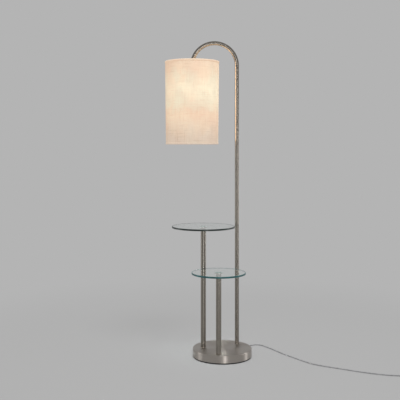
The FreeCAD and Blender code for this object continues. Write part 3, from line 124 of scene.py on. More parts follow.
@dataclass
class Graph:
    """A thin helper round one node tree, so that each pattern reads as a short recipe."""

    tree: bpy.types.NodeTree

    def add(self, kind: str, settings: dict | None = None, **inputs: object) -> bpy.types.Node:
        """Adds a node.

        Args:
            kind: the node's type name.
            settings: properties of the node itself.
            inputs: values or sockets for its inputs, by name with underscores for spaces.

        Returns:
            The new node.
        """
        node = self.tree.nodes.new(kind)
        for name, value in (settings or {}).items():
            setattr(node, name, value)
        self.wire(node, **inputs)
        return node

    def wire(self, node: bpy.types.Node, **inputs: object) -> None:
        """Links or sets a node's inputs, by name with underscores for spaces."""
        for name, value in inputs.items():
            self.feed(self.socket(node, name), value)

    @staticmethod
    def socket(node: bpy.types.Node, name: str) -> Socket:
        """The input of a node by name, or by number as in input_1."""
        if name.startswith("input_"):
            return node.inputs[int(name.removeprefix("input_"))]
        wanted = name.replace("_", " ").lower()
        live = [item for item in node.inputs if item.enabled and item.name.lower() == wanted]
        if not live:
            raise KeyError(f"{node.bl_idname} has no input {name}")
        return live[0]

    def feed(self, socket: Socket, value: object) -> None:
        """Links a socket to another one, or sets its value."""
        if isinstance(value, Socket):
            self.tree.links.new(value, socket)
        elif isinstance(value, bpy.types.Node):
            self.tree.links.new(value.outputs[0], socket)
        elif socket.type == "RGBA" and len(value) == 3:
            socket.default_value = (*value, 1.0)
        else:
            socket.default_value = value

    def math(self, operation: str, *values: object, clamp: bool = False) -> Socket:
        """The result of one sum on numbers."""
        node = self.tree.nodes.new("ShaderNodeMath")
        node.operation = operation
        node.use_clamp = clamp
        for socket, value in zip(node.inputs, values):
            self.feed(socket, value)
        return node.outputs[0]

    def times(self, first: object, second: object) -> Socket:
        """Two numbers multiplied."""
        return self.math("MULTIPLY", first, second)

    def plus(self, first: object, second: object) -> Socket:
        """Two numbers added."""
        return self.math("ADD", first, second)

    def minus(self, first: object, second: object) -> Socket:
        """The first number less the second."""
        return self.math("SUBTRACT", first, second)

    def spread(self, value: object, low: float, high: float, to_low: float = 0.0,
               to_high: float = 1.0, smooth: bool = True) -> Socket:
        """A value moved from one range to another, held at the ends."""
        node = self.tree.nodes.new("ShaderNodeMapRange")
        node.interpolation_type = "SMOOTHSTEP" if smooth else "LINEAR"
        for name, item in zip(("Value", "From Min", "From Max", "To Min", "To Max"),
                              (value, low, high, to_low, to_high)):
            self.feed(node.inputs[name], item)
        return node.outputs[0]

    def mix(self, share: object, first: object, second: object,
            blend: str = "MIX") -> Socket:
        """Two colours mixed."""
        node = self.tree.nodes.new("ShaderNodeMix")
        node.data_type = "RGBA"
        node.blend_type = blend
        self.feed(node.inputs[0], share)
        self.feed(node.inputs[6], first)
        self.feed(node.inputs[7], second)
        return node.outputs[2]

    def noise(self, where: object, scale: float, detail: float = 3.0,
              rough: float = 0.55) -> Socket:
        """A noise value over a coordinate."""
        node = self.add("ShaderNodeTexNoise", Vector=where, Scale=scale, Detail=detail,
                        Roughness=rough)
        return node.outputs[0]

    def stretched(self, where: object, scale: Point,
                  shift: Point = (0.0, 0.0, 0.0)) -> Socket:
        """A coordinate scaled on each axis and moved."""
        node = self.add("ShaderNodeMapping", {"vector_type": "POINT"}, Vector=where)
        node.inputs["Location"].default_value = shift
        node.inputs["Scale"].default_value = scale
        return node.outputs[0]

    def measured_from(self, where: object, point: Point) -> Socket:
        """A coordinate as seen from a point."""
        return self.stretched(where, (1, 1, 1), tuple(-value for value in point))

    def split(self, where: object) -> tuple[Socket, ...]:
        """The three parts of a coordinate."""
        return tuple(self.add("ShaderNodeSeparateXYZ", Vector=where).outputs)

    def polar(self, where: object) -> tuple[Socket, Socket, Socket]:
        """Radius, angle and height of a coordinate."""
        east, north, up = self.split(where)
        radius = self.math("SQRT", self.plus(self.times(east, east), self.times(north, north)))
        return radius, self.math("ARCTAN2", north, east), up

    def vector(self, *parts: object) -> Socket:
        """A coordinate from its three parts."""
        node = self.tree.nodes.new("ShaderNodeCombineXYZ")
        for socket, value in zip(node.inputs, parts):
            self.feed(socket, value)
        return node.outputs[0]


class PatternLibrary:
    """Shader node groups for the effects that several finishes share, each built once."""

    def __init__(self) -> None:
        self.groups: dict[str, bpy.types.NodeTree] = {}

    def group(self, name: str, inputs: Sequence[tuple[str, str, object]],
              outputs: Sequence[tuple[str, str]],
              recipe: Callable[[Graph, dict], dict]) -> bpy.types.NodeTree:
        """Builds a group the first time that it is asked for.

        Args:
            name: the group's name.
            inputs: name, kind and default of each input.
            outputs: name and kind of each output.
            recipe: fills the graph and returns a socket for each output name.

        Returns:
            The node group.
        """
        if name in self.groups:
            return self.groups[name]
        tree = bpy.data.node_groups.new(name, "ShaderNodeTree")
        for label, kind, default in inputs:
            socket = tree.interface.new_socket(label, in_out="INPUT",
                                               socket_type="NodeSocket" + kind)
            if default is not None:
                socket.default_value = default
        for label, kind in outputs:
            tree.interface.new_socket(label, in_out="OUTPUT", socket_type="NodeSocket" + kind)
        graph = Graph(tree)
        entry = tree.nodes.new("NodeGroupInput")
        leave = tree.nodes.new("NodeGroupOutput")
        results = recipe(graph, {item.name: item for item in entry.outputs})
        for label, _ in outputs:
            tree.links.new(results[label], leave.inputs[label])
        self.groups[name] = tree
        return tree

    def brushing(self) -> bpy.types.NodeTree:
        """Fine parallel scratches with slow drifts of tone."""

        def recipe(graph: Graph, given: dict) -> dict:
            fine = graph.noise(given["Track"], 1.0, 2.0, 0.6)
            coarse = graph.noise(given["Track"], 0.21, 2.0, 0.5)
            cloud = graph.noise(given["Place"], 9.0, 3.0, 0.5)
            height = graph.plus(graph.times(fine, 0.7), graph.times(coarse, 0.3))
            share = graph.spread(height, 0.3, 0.7)
            drift = graph.times(graph.spread(cloud, 0.3, 0.7), given["Drift"])
            pale = graph.math("ADD", graph.times(share, 0.35), drift, clamp=True)
            rough = graph.plus(given["Roughness"],
                               graph.times(graph.minus(share, 0.5), given["Variation"]))
            return {"Color": graph.mix(pale, given["Dark"], given["Light"]),
                    "Roughness": rough, "Height": height}

        return self.group(
            "brushing",
            [("Track", "Vector", None), ("Place", "Vector", None),
             ("Dark", "Color", (0.3, 0.29, 0.27, 1)), ("Light", "Color", (0.5, 0.48, 0.45, 1)),
             ("Roughness", "Float", 0.3), ("Variation", "Float", 0.03),
             ("Drift", "Float", 0.3)],
            [("Color", "Color"), ("Roughness", "Float"), ("Height", "Float")], recipe)

    def speckle(self) -> bpy.types.NodeTree:
        """The fine grain of moulded plastic, paint or rubber, with a slow drift of tone."""

        def recipe(graph: Graph, given: dict) -> dict:
            grain = graph.noise(given["Place"], 900.0, 2.0, 0.6)
            cloud = graph.noise(given["Place"], 28.0, 3.0, 0.55)
            share = graph.plus(graph.times(grain, 0.4),
                               graph.times(graph.spread(cloud, 0.3, 0.7), 0.6))
            rough = graph.plus(given["Roughness"], graph.times(graph.minus(cloud, 0.5), 0.16))
            return {"Color": graph.mix(share, given["Dark"], given["Light"]),
                    "Roughness": rough, "Height": grain}

        return self.group(
            "speckle",
            [("Place", "Vector", None), ("Dark", "Color", (0.1, 0.1, 0.1, 1)),
             ("Light", "Color", (0.12, 0.12, 0.12, 1)), ("Roughness", "Float", 0.5)],
            [("Color", "Color"), ("Roughness", "Float"), ("Height", "Float")], recipe)

    def weave(self) -> bpy.types.NodeTree:
        """Plain weave over a UV map in metres, with thick and thin slubs in both yarns."""

        def recipe(graph: Graph, given: dict) -> dict:
            cloth = given["Cloth"]
            across, along, _ = graph.split(cloth)
            turn = graph.math("DIVIDE", 2 * math.pi, given["Pitch"])
            warp = graph.math("SINE", graph.times(across, turn))
            weft = graph.math("SINE", graph.times(along, turn))
            yarn = graph.math("ABSOLUTE", graph.times(warp, weft))
            flat_lie, tall_lie, drift_lie = (13, 190, 1), (170, 11, 1), (17, 13, 1)
            flat = graph.noise(graph.stretched(cloth, flat_lie), 1.0, 4.0, 0.7)
            tall = graph.noise(graph.stretched(cloth, tall_lie), 1.0, 4.0, 0.7)
            slub = graph.math("MAXIMUM", graph.spread(flat, 0.5, 0.72),
                              graph.spread(tall, 0.5, 0.72))
            thin = graph.math("MAXIMUM", graph.spread(flat, 0.48, 0.3),
                              graph.spread(tall, 0.48, 0.3))
            drift = graph.noise(graph.stretched(cloth, drift_lie), 1.0, 3.0, 0.6)
            height = graph.plus(graph.times(yarn, 0.45), graph.times(slub, 0.9))
            return {"Slub": slub, "Thin": thin, "Cloud": graph.spread(drift, 0.36, 0.64),
                    "Height": height}

        return self.group(
            "weave", [("Cloth", "Vector", None), ("Pitch", "Float", 0.0012)],
            [("Slub", "Float"), ("Thin", "Float"), ("Cloud", "Float"), ("Height", "Float")],
            recipe)


PATTERNS = PatternLibrary()


# ---------------------------------------------------------------- finishes


def new_material(name: str) -> tuple[bpy.types.Material, Graph, bpy.types.Node]:
    """An empty material with its principled shader wired to the output."""
    material = bpy.data.materials.new(name)
    material.use_nodes = True
    graph = Graph(material.node_tree)
    material.node_tree.nodes.clear()
    shader = graph.add("ShaderNodeBsdfPrincipled")
    graph.add("ShaderNodeOutputMaterial", Surface=shader)
    return material, graph, shader


def surface_of(material: bpy.types.Material) -> Socket:
    """Where a material takes its finished shader."""
    leave = next(node for node in material.node_tree.nodes
                 if node.bl_idname == "ShaderNodeOutputMaterial")
    return leave.inputs["Surface"]


def object_place(graph: Graph) -> Socket:
    """The piece's own coordinates, which are the row frame's."""
    return graph.add("ShaderNodeTexCoord").outputs["Object"]


def bumped(graph: Graph, shader: bpy.types.Node, height: object, strength: float,
           distance: float) -> None:
    """Leads a height into a shader's normal."""
    bump = graph.add("ShaderNodeBump", Strength=strength, Distance=distance, Height=height)
    graph.feed(shader.inputs["Normal"], bump.outputs[0])


@dataclass(frozen=True)
class BrushedMetal:
    """A satin metal with scratches along one direction."""

    name: str
    dark: Colour
    light: Colour
    roughness: float
    grain: Grain = Grain.UPRIGHT
    axis: Point = (0.0, 0.0, 0.0)
    bump: float = 0.05
    drift: float = 0.12
    across: float = 0.88
    bend: Bend | None = None
    unevenness: float = 0.03
    depth: float = 0.0002

    def material(self) -> bpy.types.Material:
        """Builds the material."""
        material, graph, shader = new_material(self.name)
        place = object_place(graph)
        track, tangent = (self.bent if self.bend else self.straight)(graph, place)
        brush = graph.add("ShaderNodeGroup", {"node_tree": PATTERNS.brushing()},
                          Track=track, Place=place, Dark=self.dark, Light=self.light,
                          Roughness=self.roughness,
                          Variation=self.unevenness if self.bump else 0.0, Drift=self.drift)
        graph.wire(shader, Base_Color=brush.outputs["Color"],
                   Roughness=brush.outputs["Roughness"], Metallic=1.0,
                   Anisotropic=self.across, Tangent=tangent)
        if self.bump:
            bumped(graph, shader, brush.outputs["Height"], self.bump, self.depth)
        return material

    def straight(self, graph: Graph, place: Socket) -> tuple[Socket, Socket]:
        """The scratches' track and the way across them, for a piece turned round an axis."""
        centred = graph.measured_from(place, self.axis)
        radius, angle, height = graph.polar(centred)
        round_lanes, out_lanes, up_lanes = self.grain.value
        track = graph.vector(graph.times(angle, round_lanes), graph.times(radius, out_lanes),
                             graph.times(height, up_lanes))
        east, north, _ = graph.split(centred)
        tangent = graph.vector(graph.times(east, -1.0), graph.times(north, -1.0), radius)
        return track, tangent

    def bent(self, graph: Graph, place: Socket) -> tuple[Socket, Socket]:
        """The same for a tube that follows a bend: the way across runs along the tube."""
        east, north, up = graph.split(place)
        out = graph.minus(east, self.bend.middle)
        above = graph.math("MAXIMUM", graph.minus(up, self.bend.height), 0.0)
        along = graph.plus(graph.times(graph.math("ARCTAN2", above, out), self.bend.radius),
                           graph.math("MINIMUM", up, self.bend.height))
        _, side_lanes, long_lanes = self.grain.value
        track = graph.vector(0.0, graph.times(north, side_lanes),
                             graph.times(along, long_lanes))
        return track, graph.vector(graph.times(above, -1.0), 0.0, out)


@dataclass(frozen=True)
class Moulded:
    """Moulded plastic, paint, rubber or cast metal with a fine grain."""

    name: str
    dark: Colour
    light: Colour
    roughness: float
    metallic: float = 0.0
    bump: float = 0.15
    glow: float = 0.0
    depth: float = 0.0003

    def material(self) -> bpy.types.Material:
        """Builds the material."""
        material, graph, shader = new_material(self.name)
        grain = graph.add("ShaderNodeGroup", {"node_tree": PATTERNS.speckle()},
                          Place=object_place(graph), Dark=self.dark, Light=self.light,
                          Roughness=self.roughness)
        graph.wire(shader, Base_Color=grain.outputs["Color"],
                   Roughness=grain.outputs["Roughness"], Metallic=self.metallic)
        bumped(graph, shader, grain.outputs["Height"], self.bump, self.depth)
        # emission: on the bulb it is the lamp's own light, on the shade's liner it is a painted
        # glow for light shining through
        if self.glow:
            graph.wire(shader, Emission_Color=grain.outputs["Color"],
                       Emission_Strength=self.glow)
        return material


@dataclass(frozen=True)
class ShelfGlass:
    """Clear tempered glass whose polished edge is deep green from the glass behind it."""

    name: str
    centre: Point
    radius: float
    clear: Colour = (0.93, 0.975, 0.965)
    edge: Colour = (0.007, 0.015, 0.013)
    edge_light: float = 1.9
    rim_start: float = 0.0036
    rim_full: float = 0.0018
    rim_clear: float = 0.08
    rim_haze: float = 0.3

    def material(self) -> bpy.types.Material:
        """Builds the material."""
        material, graph, shader = new_material(self.name)
        centred = graph.measured_from(object_place(graph), self.centre)
        radius, angle, _ = graph.polar(centred)
        rim = graph.spread(radius, self.radius - self.rim_start, self.radius - self.rim_full)
        ripple = graph.noise(graph.vector(graph.times(angle, 3.0), 0.0, 0.0), 1.0)
        tint = graph.mix(graph.spread(ripple, 0.35, 0.65), self.edge,
                         tuple(self.edge_light * value for value in self.edge))
        smear = graph.spread(graph.noise(centred, 14.0, 4.0, 0.6), 0.4, 0.9, 0.012, 0.05)
        graph.wire(shader, Base_Color=graph.mix(rim, self.clear, tint),
                   Roughness=graph.plus(smear, graph.times(rim, self.rim_haze)),
                   Transmission_Weight=graph.spread(rim, 0.0, 1.0, 1.0, self.rim_clear),
                   IOR=1.5)
        shadow = graph.add("ShaderNodeLightPath").outputs["Is Shadow Ray"]
        passed = graph.add("ShaderNodeBsdfTransparent", Color=self.clear)
        graph.feed(surface_of(material), graph.add("ShaderNodeMixShader", input_0=shadow,
                                                   input_1=shader, input_2=passed))
        return material


@dataclass(frozen=True)
class GlowingCloth:
    """Slubby linen, lit through by the bulb in the middle of the shade."""

    name: str
    bulb: Point
    thread: Colour = (0.50, 0.45, 0.385)
    slub: Colour = (0.42, 0.36, 0.29)
    hot: Colour = (0.65, 0.56, 0.385)
    warm: Colour = (0.585, 0.41, 0.263)
    cool: Colour = (0.41, 0.32, 0.24)
    blush: Colour = (0.95, 0.86, 0.84)
    reach: tuple[float, float, float] = (0.02, 0.115, 0.25)
    pitch: float = 0.0013
    depth: float = 0.0004

    def material(self) -> bpy.types.Material:
        """Builds the material."""
        material, graph, shader = new_material(self.name)
        cloth = graph.add("ShaderNodeUVMap", {"uv_map": "cloth"}).outputs[0]
        weave = graph.add("ShaderNodeGroup", {"node_tree": PATTERNS.weave()}, Cloth=cloth,
                          Pitch=self.pitch)
        fibres = graph.mix(weave.outputs["Slub"], self.thread, self.slub)
        shaded = graph.mix(graph.times(weave.outputs["Cloud"], 0.35), fibres,
                           tuple(0.8 * value for value in self.thread))
        graph.wire(shader, Base_Color=shaded, Roughness=0.92, Specular_IOR_Level=0.25,
                   Sheen_Weight=0.4, Sheen_Roughness=0.4, Sheen_Tint=(1.0, 0.84, 0.66),
                   Emission_Color=self.lit_through(graph, cloth, weave),
                   Emission_Strength=1.0)
        bumped(graph, shader, weave.outputs["Height"], 0.35, self.depth)
        return material

    def lit_through(self, graph: Graph, cloth: Socket, weave: bpy.types.Node) -> Socket:
        """The bulb's light in the cloth: hottest level with the bulb, duller in thick yarn.

        Args:
            graph: the material's graph.
            cloth: the cloth's own UV map, in metres.
            weave: the weave's node group.

        Returns:
            The colour that the cloth gives off.
        """
        slub, thin, cloud = (weave.outputs[name] for name in ("Slub", "Thin", "Cloud"))
        _, _, above = graph.split(graph.measured_from(object_place(graph), self.bulb))
        rise = graph.plus(graph.math("ABSOLUTE", above),
                          graph.times(graph.minus(cloud, 0.5), 0.05))
        start, middle, end = self.reach
        light = graph.mix(graph.spread(rise, start, middle), self.hot, self.warm)
        light = graph.mix(graph.spread(rise, middle, end), light, self.cool)
        patch = graph.noise(graph.stretched(cloth, (7, 6, 1), (0.3, 1.7, 0.0)), 1.0, 2.0, 0.5)
        light = graph.mix(graph.spread(patch, 0.38, 0.62), light,
                          graph.mix(1.0, light, self.blush, "MULTIPLY"))
        level = graph.plus(graph.minus(1.0, graph.times(slub, 0.11)), graph.times(thin, 0.10))
        level = graph.times(level, graph.plus(0.88, graph.times(cloud, 0.20)))
        return graph.mix(1.0, light, graph.vector(level, level, level), "MULTIPLY")


@dataclass(frozen=True)
class SheathedFlex:
    """Soft extruded plastic with faint scuffs."""

    name: str
    dark: Colour
    light: Colour
    depth: float = 0.0002

    def material(self) -> bpy.types.Material:
        """Builds the material."""
        material, graph, shader = new_material(self.name)
        place = object_place(graph)
        scuff = graph.spread(graph.noise(place, 60.0, 4.0, 0.6), 0.35, 0.7)
        graph.wire(shader, Base_Color=graph.mix(scuff, self.dark, self.light),
                   Roughness=graph.spread(scuff, 0.0, 1.0, 0.42, 0.58))
        bumped(graph, shader, graph.noise(place, 1400.0, 2.0, 0.5), 0.1, self.depth)
        return material


class Finishes:
    """Every finish of the lamp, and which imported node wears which."""

    tube = (linear(137, 131, 123), linear(146, 140, 132))
    cover = (linear(173, 166, 159), linear(190, 183, 176))
    arch = Bend(-0.0355, 1.393, 0.109)
    bulb_height = 1.262

    def __init__(self) -> None:
        self.made: dict[str, bpy.types.Material] = {}
        metal = [
            BrushedMetal("nickel_base_cover", *self.cover, 0.38, Grain.TURNED, bump=0.08),
            BrushedMetal("nickel_upper_pole", *self.tube, 0.27, Grain.ROUND, UPPER_POLE_AXIS,
                         bump=0.0),
            BrushedMetal("nickel_lower_pole", *self.tube, 0.27, Grain.ROUND, LOWER_POLE_AXIS,
                         bump=0.0),
            BrushedMetal("nickel_stem", *self.tube, 0.27, Grain.ROUND, STEM_AXIS, bump=0.0),
            BrushedMetal("nickel_arch", *self.tube, 0.27, Grain.ALONG_BEND, bump=0.0,
                         bend=self.arch),
            BrushedMetal("nickel_upper_hub", *self.cover, 0.30, Grain.TURNED, UPPER_POLE_AXIS),
            BrushedMetal("nickel_lower_hub", *self.cover, 0.30, Grain.TURNED, LOWER_POLE_AXIS),
            BrushedMetal("zinc_steel", (0.42, 0.42, 0.42), (0.62, 0.62, 0.61), 0.32,
                         Grain.TURNED),
            BrushedMetal("spring_wire", (0.5, 0.5, 0.5), (0.7, 0.7, 0.7), 0.25),
            BrushedMetal("contact_brass", (0.50, 0.36, 0.14), (0.72, 0.56, 0.28), 0.28,
                         Grain.TURNED, HEAD_AXIS),
            BrushedMetal("bulb_cap_metal", (0.55, 0.55, 0.55), (0.75, 0.75, 0.75), 0.26,
                         Grain.TURNED, HEAD_AXIS),
        ]
        plain = [
            Moulded("foot_rubber", (0.012, 0.012, 0.012), (0.022, 0.021, 0.02), 0.75),
            Moulded("plate_paint", (0.03, 0.03, 0.03), (0.05, 0.05, 0.05), 0.45),
            Moulded("weight_iron", (0.05, 0.048, 0.046), (0.13, 0.12, 0.115), 0.7, 0.7, 0.6),
            Moulded("bond_clear", (0.56, 0.66, 0.63), (0.66, 0.76, 0.73), 0.25),
            Moulded("holder_black", (0.02, 0.02, 0.02), (0.035, 0.034, 0.033), 0.4),
            Moulded("insulation_white", (0.6, 0.58, 0.54), (0.74, 0.72, 0.68), 0.5),
            # the liner's glow is painted: emission that stands in for the bulb's light shining
            # through it
            Moulded("liner_styrene_painted_glow", (0.70, 0.62, 0.50), (0.86, 0.78, 0.64), 0.5, glow=0.45),
            Moulded("wire_white", (0.66, 0.65, 0.62), (0.80, 0.79, 0.77), 0.4),
            Moulded("bulb_opal", (0.95, 0.82, 0.62), (1.0, 0.88, 0.70), 0.35, glow=2.4),
            Moulded("bulb_white", (0.74, 0.74, 0.72), (0.84, 0.84, 0.82), 0.45),
            Moulded("switch_grey", (0.17, 0.17, 0.17), (0.24, 0.24, 0.24), 0.5),
            Moulded("button_grey", (0.09, 0.09, 0.09), (0.13, 0.13, 0.13), 0.42),
            Moulded("plug_grey", (0.16, 0.16, 0.16), (0.22, 0.22, 0.22), 0.5),
            Moulded("sleeve_black", (0.015, 0.015, 0.015), (0.03, 0.03, 0.03), 0.5),
            Moulded("tie_black", (0.02, 0.02, 0.02), (0.04, 0.04, 0.04), 0.55),
        ]
        special = [
            ShelfGlass("glass_upper", UPPER_POLE_AXIS, 0.150),
            ShelfGlass("glass_lower", LOWER_POLE_AXIS, 0.125, edge=(0.016, 0.090, 0.095)),
            GlowingCloth("shade_cloth", at_height(HEAD_AXIS, self.bulb_height)),
            SheathedFlex("cord_grey", linear(150, 150, 152), linear(176, 176, 178)),
        ]
        for finish in metal + plain + special:
            self.made[finish.name] = finish.material()

    wears = {
        "nickel_base_cover": ["base_cover"],
        "nickel_upper_pole": ["upper_shelf_pole"],
        "nickel_lower_pole": ["lower_shelf_pole"],
        "nickel_stem": ["stem_lower", "stem_upper"],
        "nickel_arch": ["arch_tube"],
        "nickel_upper_hub": ["upper_hub"],
        "nickel_lower_hub": ["lower_hub"],
        "zinc_steel": ["base_screws", "pole_foot_inserts", "pole_top_inserts", "pole_bolts",
                       "foot_washers", "stem_foot_insert", "stem_foot_nipple",
                       "stem_foot_nut", "stem_joint_inserts", "stem_joint_nipples",
                       "arch_end_insert", "head_nipple", "switch_screws"],
        "spring_wire": ["switch_spring"],
        "contact_brass": ["lampholder_shell", "lampholder_contact", "bulb_contact",
                          "switch_terminals", "plug_pins"],
        "bulb_cap_metal": ["bulb_screw_cap"],
        "foot_rubber": ["base_pad"],
        "plate_paint": ["base_bottom_plate"],
        "weight_iron": ["base_weight"],
        "bond_clear": ["upper_bond_pad", "lower_bond_pad"],
        "holder_black": ["lampholder_cap", "lampholder_body", "shade_ring"],
        "insulation_white": ["lampholder_core", "switch_block"],
        "liner_styrene_painted_glow": ["shade_lining"],
        "wire_white": ["shade_spider", "shade_bottom_ring"],
        "bulb_opal": ["bulb_glass"],
        "bulb_white": ["bulb_collar"],
        "switch_grey": ["switch_base", "switch_cover"],
        "button_grey": ["switch_button"],
        "plug_grey": ["plug_body"],
        "sleeve_black": ["plug_sleeves"],
        "tie_black": ["cord_tie"],
        "glass_upper": ["upper_shelf_glass"],
        "glass_lower": ["lower_shelf_glass"],
        "cord_grey": ["inner_cable", "cord_strain_relief"],
    }

    def dress(self, nodes: dict[str, bpy.types.Object]) -> None:
        """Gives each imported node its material."""
        for finish, names in self.wears.items():
            for name in names:
                slots = nodes[name].material_slots
                if not slots:
                    nodes[name].data.materials.append(self.made[finish])
                for slot in slots:
                    slot.material = self.made[finish]
                LOG.info("dressed %s in %s", name, finish)


# ---------------------------------------------------------------- making meshes


def link_mesh(name: str, mesh: bpy.types.Mesh, material: bpy.types.Material,
              body: Body) -> bpy.types.Object:
    """Makes a piece of a mesh, gives it its finish, and lets it ride on a body."""
    piece = bpy.data.objects.new(name, mesh)
    mesh.name = name
    if not mesh.materials:
        mesh.materials.append(material)
    bpy.context.scene.collection.objects.link(piece)
    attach(piece, body.value)
    LOG.info("%s: %d faces on %s", name, len(mesh.polygons), body.value)
    return piece


class NodeTree:
    """A Geometry Nodes tree with named inputs, and the plain mesh that it gives."""

    def __init__(self, name: str, inputs: Sequence[tuple[str, str, float]],
                 recipe: Callable[[Graph, dict], Socket]) -> None:
        """Builds the tree.

        Args:
            name: the tree's name.
            inputs: name, kind and default of each input.
            recipe: fills the graph and returns the finished geometry's socket.
        """
        self.tree = bpy.data.node_groups.new(name, "GeometryNodeTree")
        for label, kind, default in inputs:
            socket = self.tree.interface.new_socket(label, in_out="INPUT",
                                                    socket_type="NodeSocket" + kind)
            socket.default_value = default
        self.tree.interface.new_socket("Finish", in_out="INPUT",
                                       socket_type="NodeSocketMaterial")
        self.tree.interface.new_socket("Geometry", in_out="OUTPUT",
                                       socket_type="NodeSocketGeometry")
        graph = Graph(self.tree)
        entry = self.tree.nodes.new("NodeGroupInput")
        given = {item.name: item for item in entry.outputs}
        made = recipe(graph, given)
        whole = graph.add("GeometryNodeRealizeInstances", Geometry=made)
        dressed = graph.add("GeometryNodeSetMaterial", Geometry=whole,
                            Material=given["Finish"])
        leave = self.tree.nodes.new("NodeGroupOutput")
        self.tree.links.new(dressed.outputs[0], leave.inputs["Geometry"])
        self.sockets = {item.name: item.identifier for item in self.tree.interface.items_tree
                        if item.in_out == "INPUT"}

    def mesh(self, name: str, material: bpy.types.Material, turn: Matrix | None = None,
             **values: float) -> bpy.types.Mesh:
        """Runs the tree with these values and returns its result.

        Args:
            name: the new mesh's name.
            material: the finish of its faces.
            turn: where the mesh goes in the row frame.
            **values: the tree's inputs, by name with underscores for spaces.

        Returns:
            A plain mesh.
        """
        seed = bpy.data.objects.new(name, bpy.data.meshes.new(name + "_seed"))
        bpy.context.scene.collection.objects.link(seed)
        modifier = seed.modifiers.new("shape", "NODES")
        modifier.node_group = self.tree
        for label, value in values.items():
            modifier[self.sockets[label.replace("_", " ")]] = value
        modifier[self.sockets["Finish"]] = material
        seen = seed.evaluated_get(bpy.context.evaluated_depsgraph_get())
        mesh = bpy.data.meshes.new_from_object(seen)
        bpy.data.objects.remove(seed)
        mesh.name = name
        if turn is not None:
            mesh.transform(turn)
        return mesh


def rib_stack_tree() -> NodeTree:
    """Round ribs along a line, from one radius to another: gland, plug neck and thread rings."""

    def recipe(graph: Graph, given: dict) -> Socket:
        line = graph.add("GeometryNodeMeshLine", {"mode": "END_POINTS"}, Count=given["Count"],
                         input_3=graph.vector(0.0, 0.0, given["Length"]))
        ring = graph.add("GeometryNodeCurvePrimitiveCircle", {"mode": "RADIUS"}, Resolution=48,
                         Radius=1.0)
        share = graph.math("DIVIDE", graph.add("GeometryNodeInputIndex"),
                           graph.minus(given["Count"], 1.0))
        radius = graph.spread(share, 0.0, 1.0, given["First Radius"], given["Last Radius"],
                              False)
        rings = graph.add("GeometryNodeInstanceOnPoints", Points=line, Instance=ring,
                          Scale=graph.vector(radius, radius, radius))
        whole = graph.add("GeometryNodeRealizeInstances", Geometry=rings)
        section = graph.add("GeometryNodeCurvePrimitiveCircle", {"mode": "RADIUS"},
                            Resolution=10, Radius=given["Rib"])
        tube = graph.add("GeometryNodeCurveToMesh", Curve=whole, Profile_Curve=section)
        smooth = graph.add("GeometryNodeSetShadeSmooth", Geometry=tube)
        return smooth.outputs[0]

    return NodeTree("rib_stack", [("Count", "Int", 6), ("Length", "Float", 0.02),
                                  ("First Radius", "Float", 0.006),
                                  ("Last Radius", "Float", 0.004), ("Rib", "Float", 0.0005)],
                    recipe)


def drum_cloth_tree() -> NodeTree:
    """A sheet wrapped round a tapered drum, lapped over itself at one seam."""

    def recipe(graph: Graph, given: dict) -> Socket:
        grid = graph.add("GeometryNodeMeshGrid", Size_X=1.0, Size_Y=1.0,
                         Vertices_X=given["Columns"], Vertices_Y=given["Rows"])
        east, north, _ = graph.split(graph.add("GeometryNodeInputPosition"))
        across, along = graph.plus(east, 0.5), graph.plus(north, 0.5)
        sweep = graph.plus(2 * math.pi, given["Lap"])
        angle = graph.plus(given["Seam"], graph.times(across, sweep))
        cosine, sine = graph.math("COSINE", angle), graph.math("SINE", angle)
        height = graph.times(along, given["Height"])

        def round_the_axis(radius: Socket) -> Socket:
            return graph.vector(graph.times(cosine, radius), graph.times(sine, radius), height)

        cone = graph.spread(along, 0.0, 1.0, given["Bottom Radius"], given["Top Radius"], False)
        lap_start = graph.minus(1.0, graph.math("DIVIDE", given["Lap"], 4.5))
        lift = graph.spread(across, lap_start, 1.0, 0.0, given["Lap Lift"])
        waves = graph.noise(round_the_axis(cone), 8.0, 3.0, 0.5)
        slack = graph.times(graph.minus(waves, 0.5), given["Slack"])
        place = round_the_axis(graph.plus(graph.plus(cone, lift), slack))
        flat = graph.vector(graph.times(angle, given["Top Radius"]), height, 0.0)
        marked = graph.add("GeometryNodeStoreNamedAttribute",
                           {"data_type": "FLOAT2", "domain": "CORNER"}, Geometry=grid,
                           Name="cloth", Value=flat)
        wrapped = graph.add("GeometryNodeSetPosition", Geometry=marked, Position=place)
        smooth = graph.add("GeometryNodeSetShadeSmooth", Geometry=wrapped)
        return smooth.outputs[0]

    return NodeTree("drum_cloth", [("Columns", "Int", 241), ("Rows", "Int", 97),
                                   ("Bottom Radius", "Float", 0.127),
                                   ("Top Radius", "Float", 0.131),
                                   ("Height", "Float", 0.4), ("Seam", "Float", 0.0),
                                   ("Lap", "Float", 0.1), ("Lap Lift", "Float", 0.0006),
                                   ("Slack", "Float", 0.0006)], recipe)


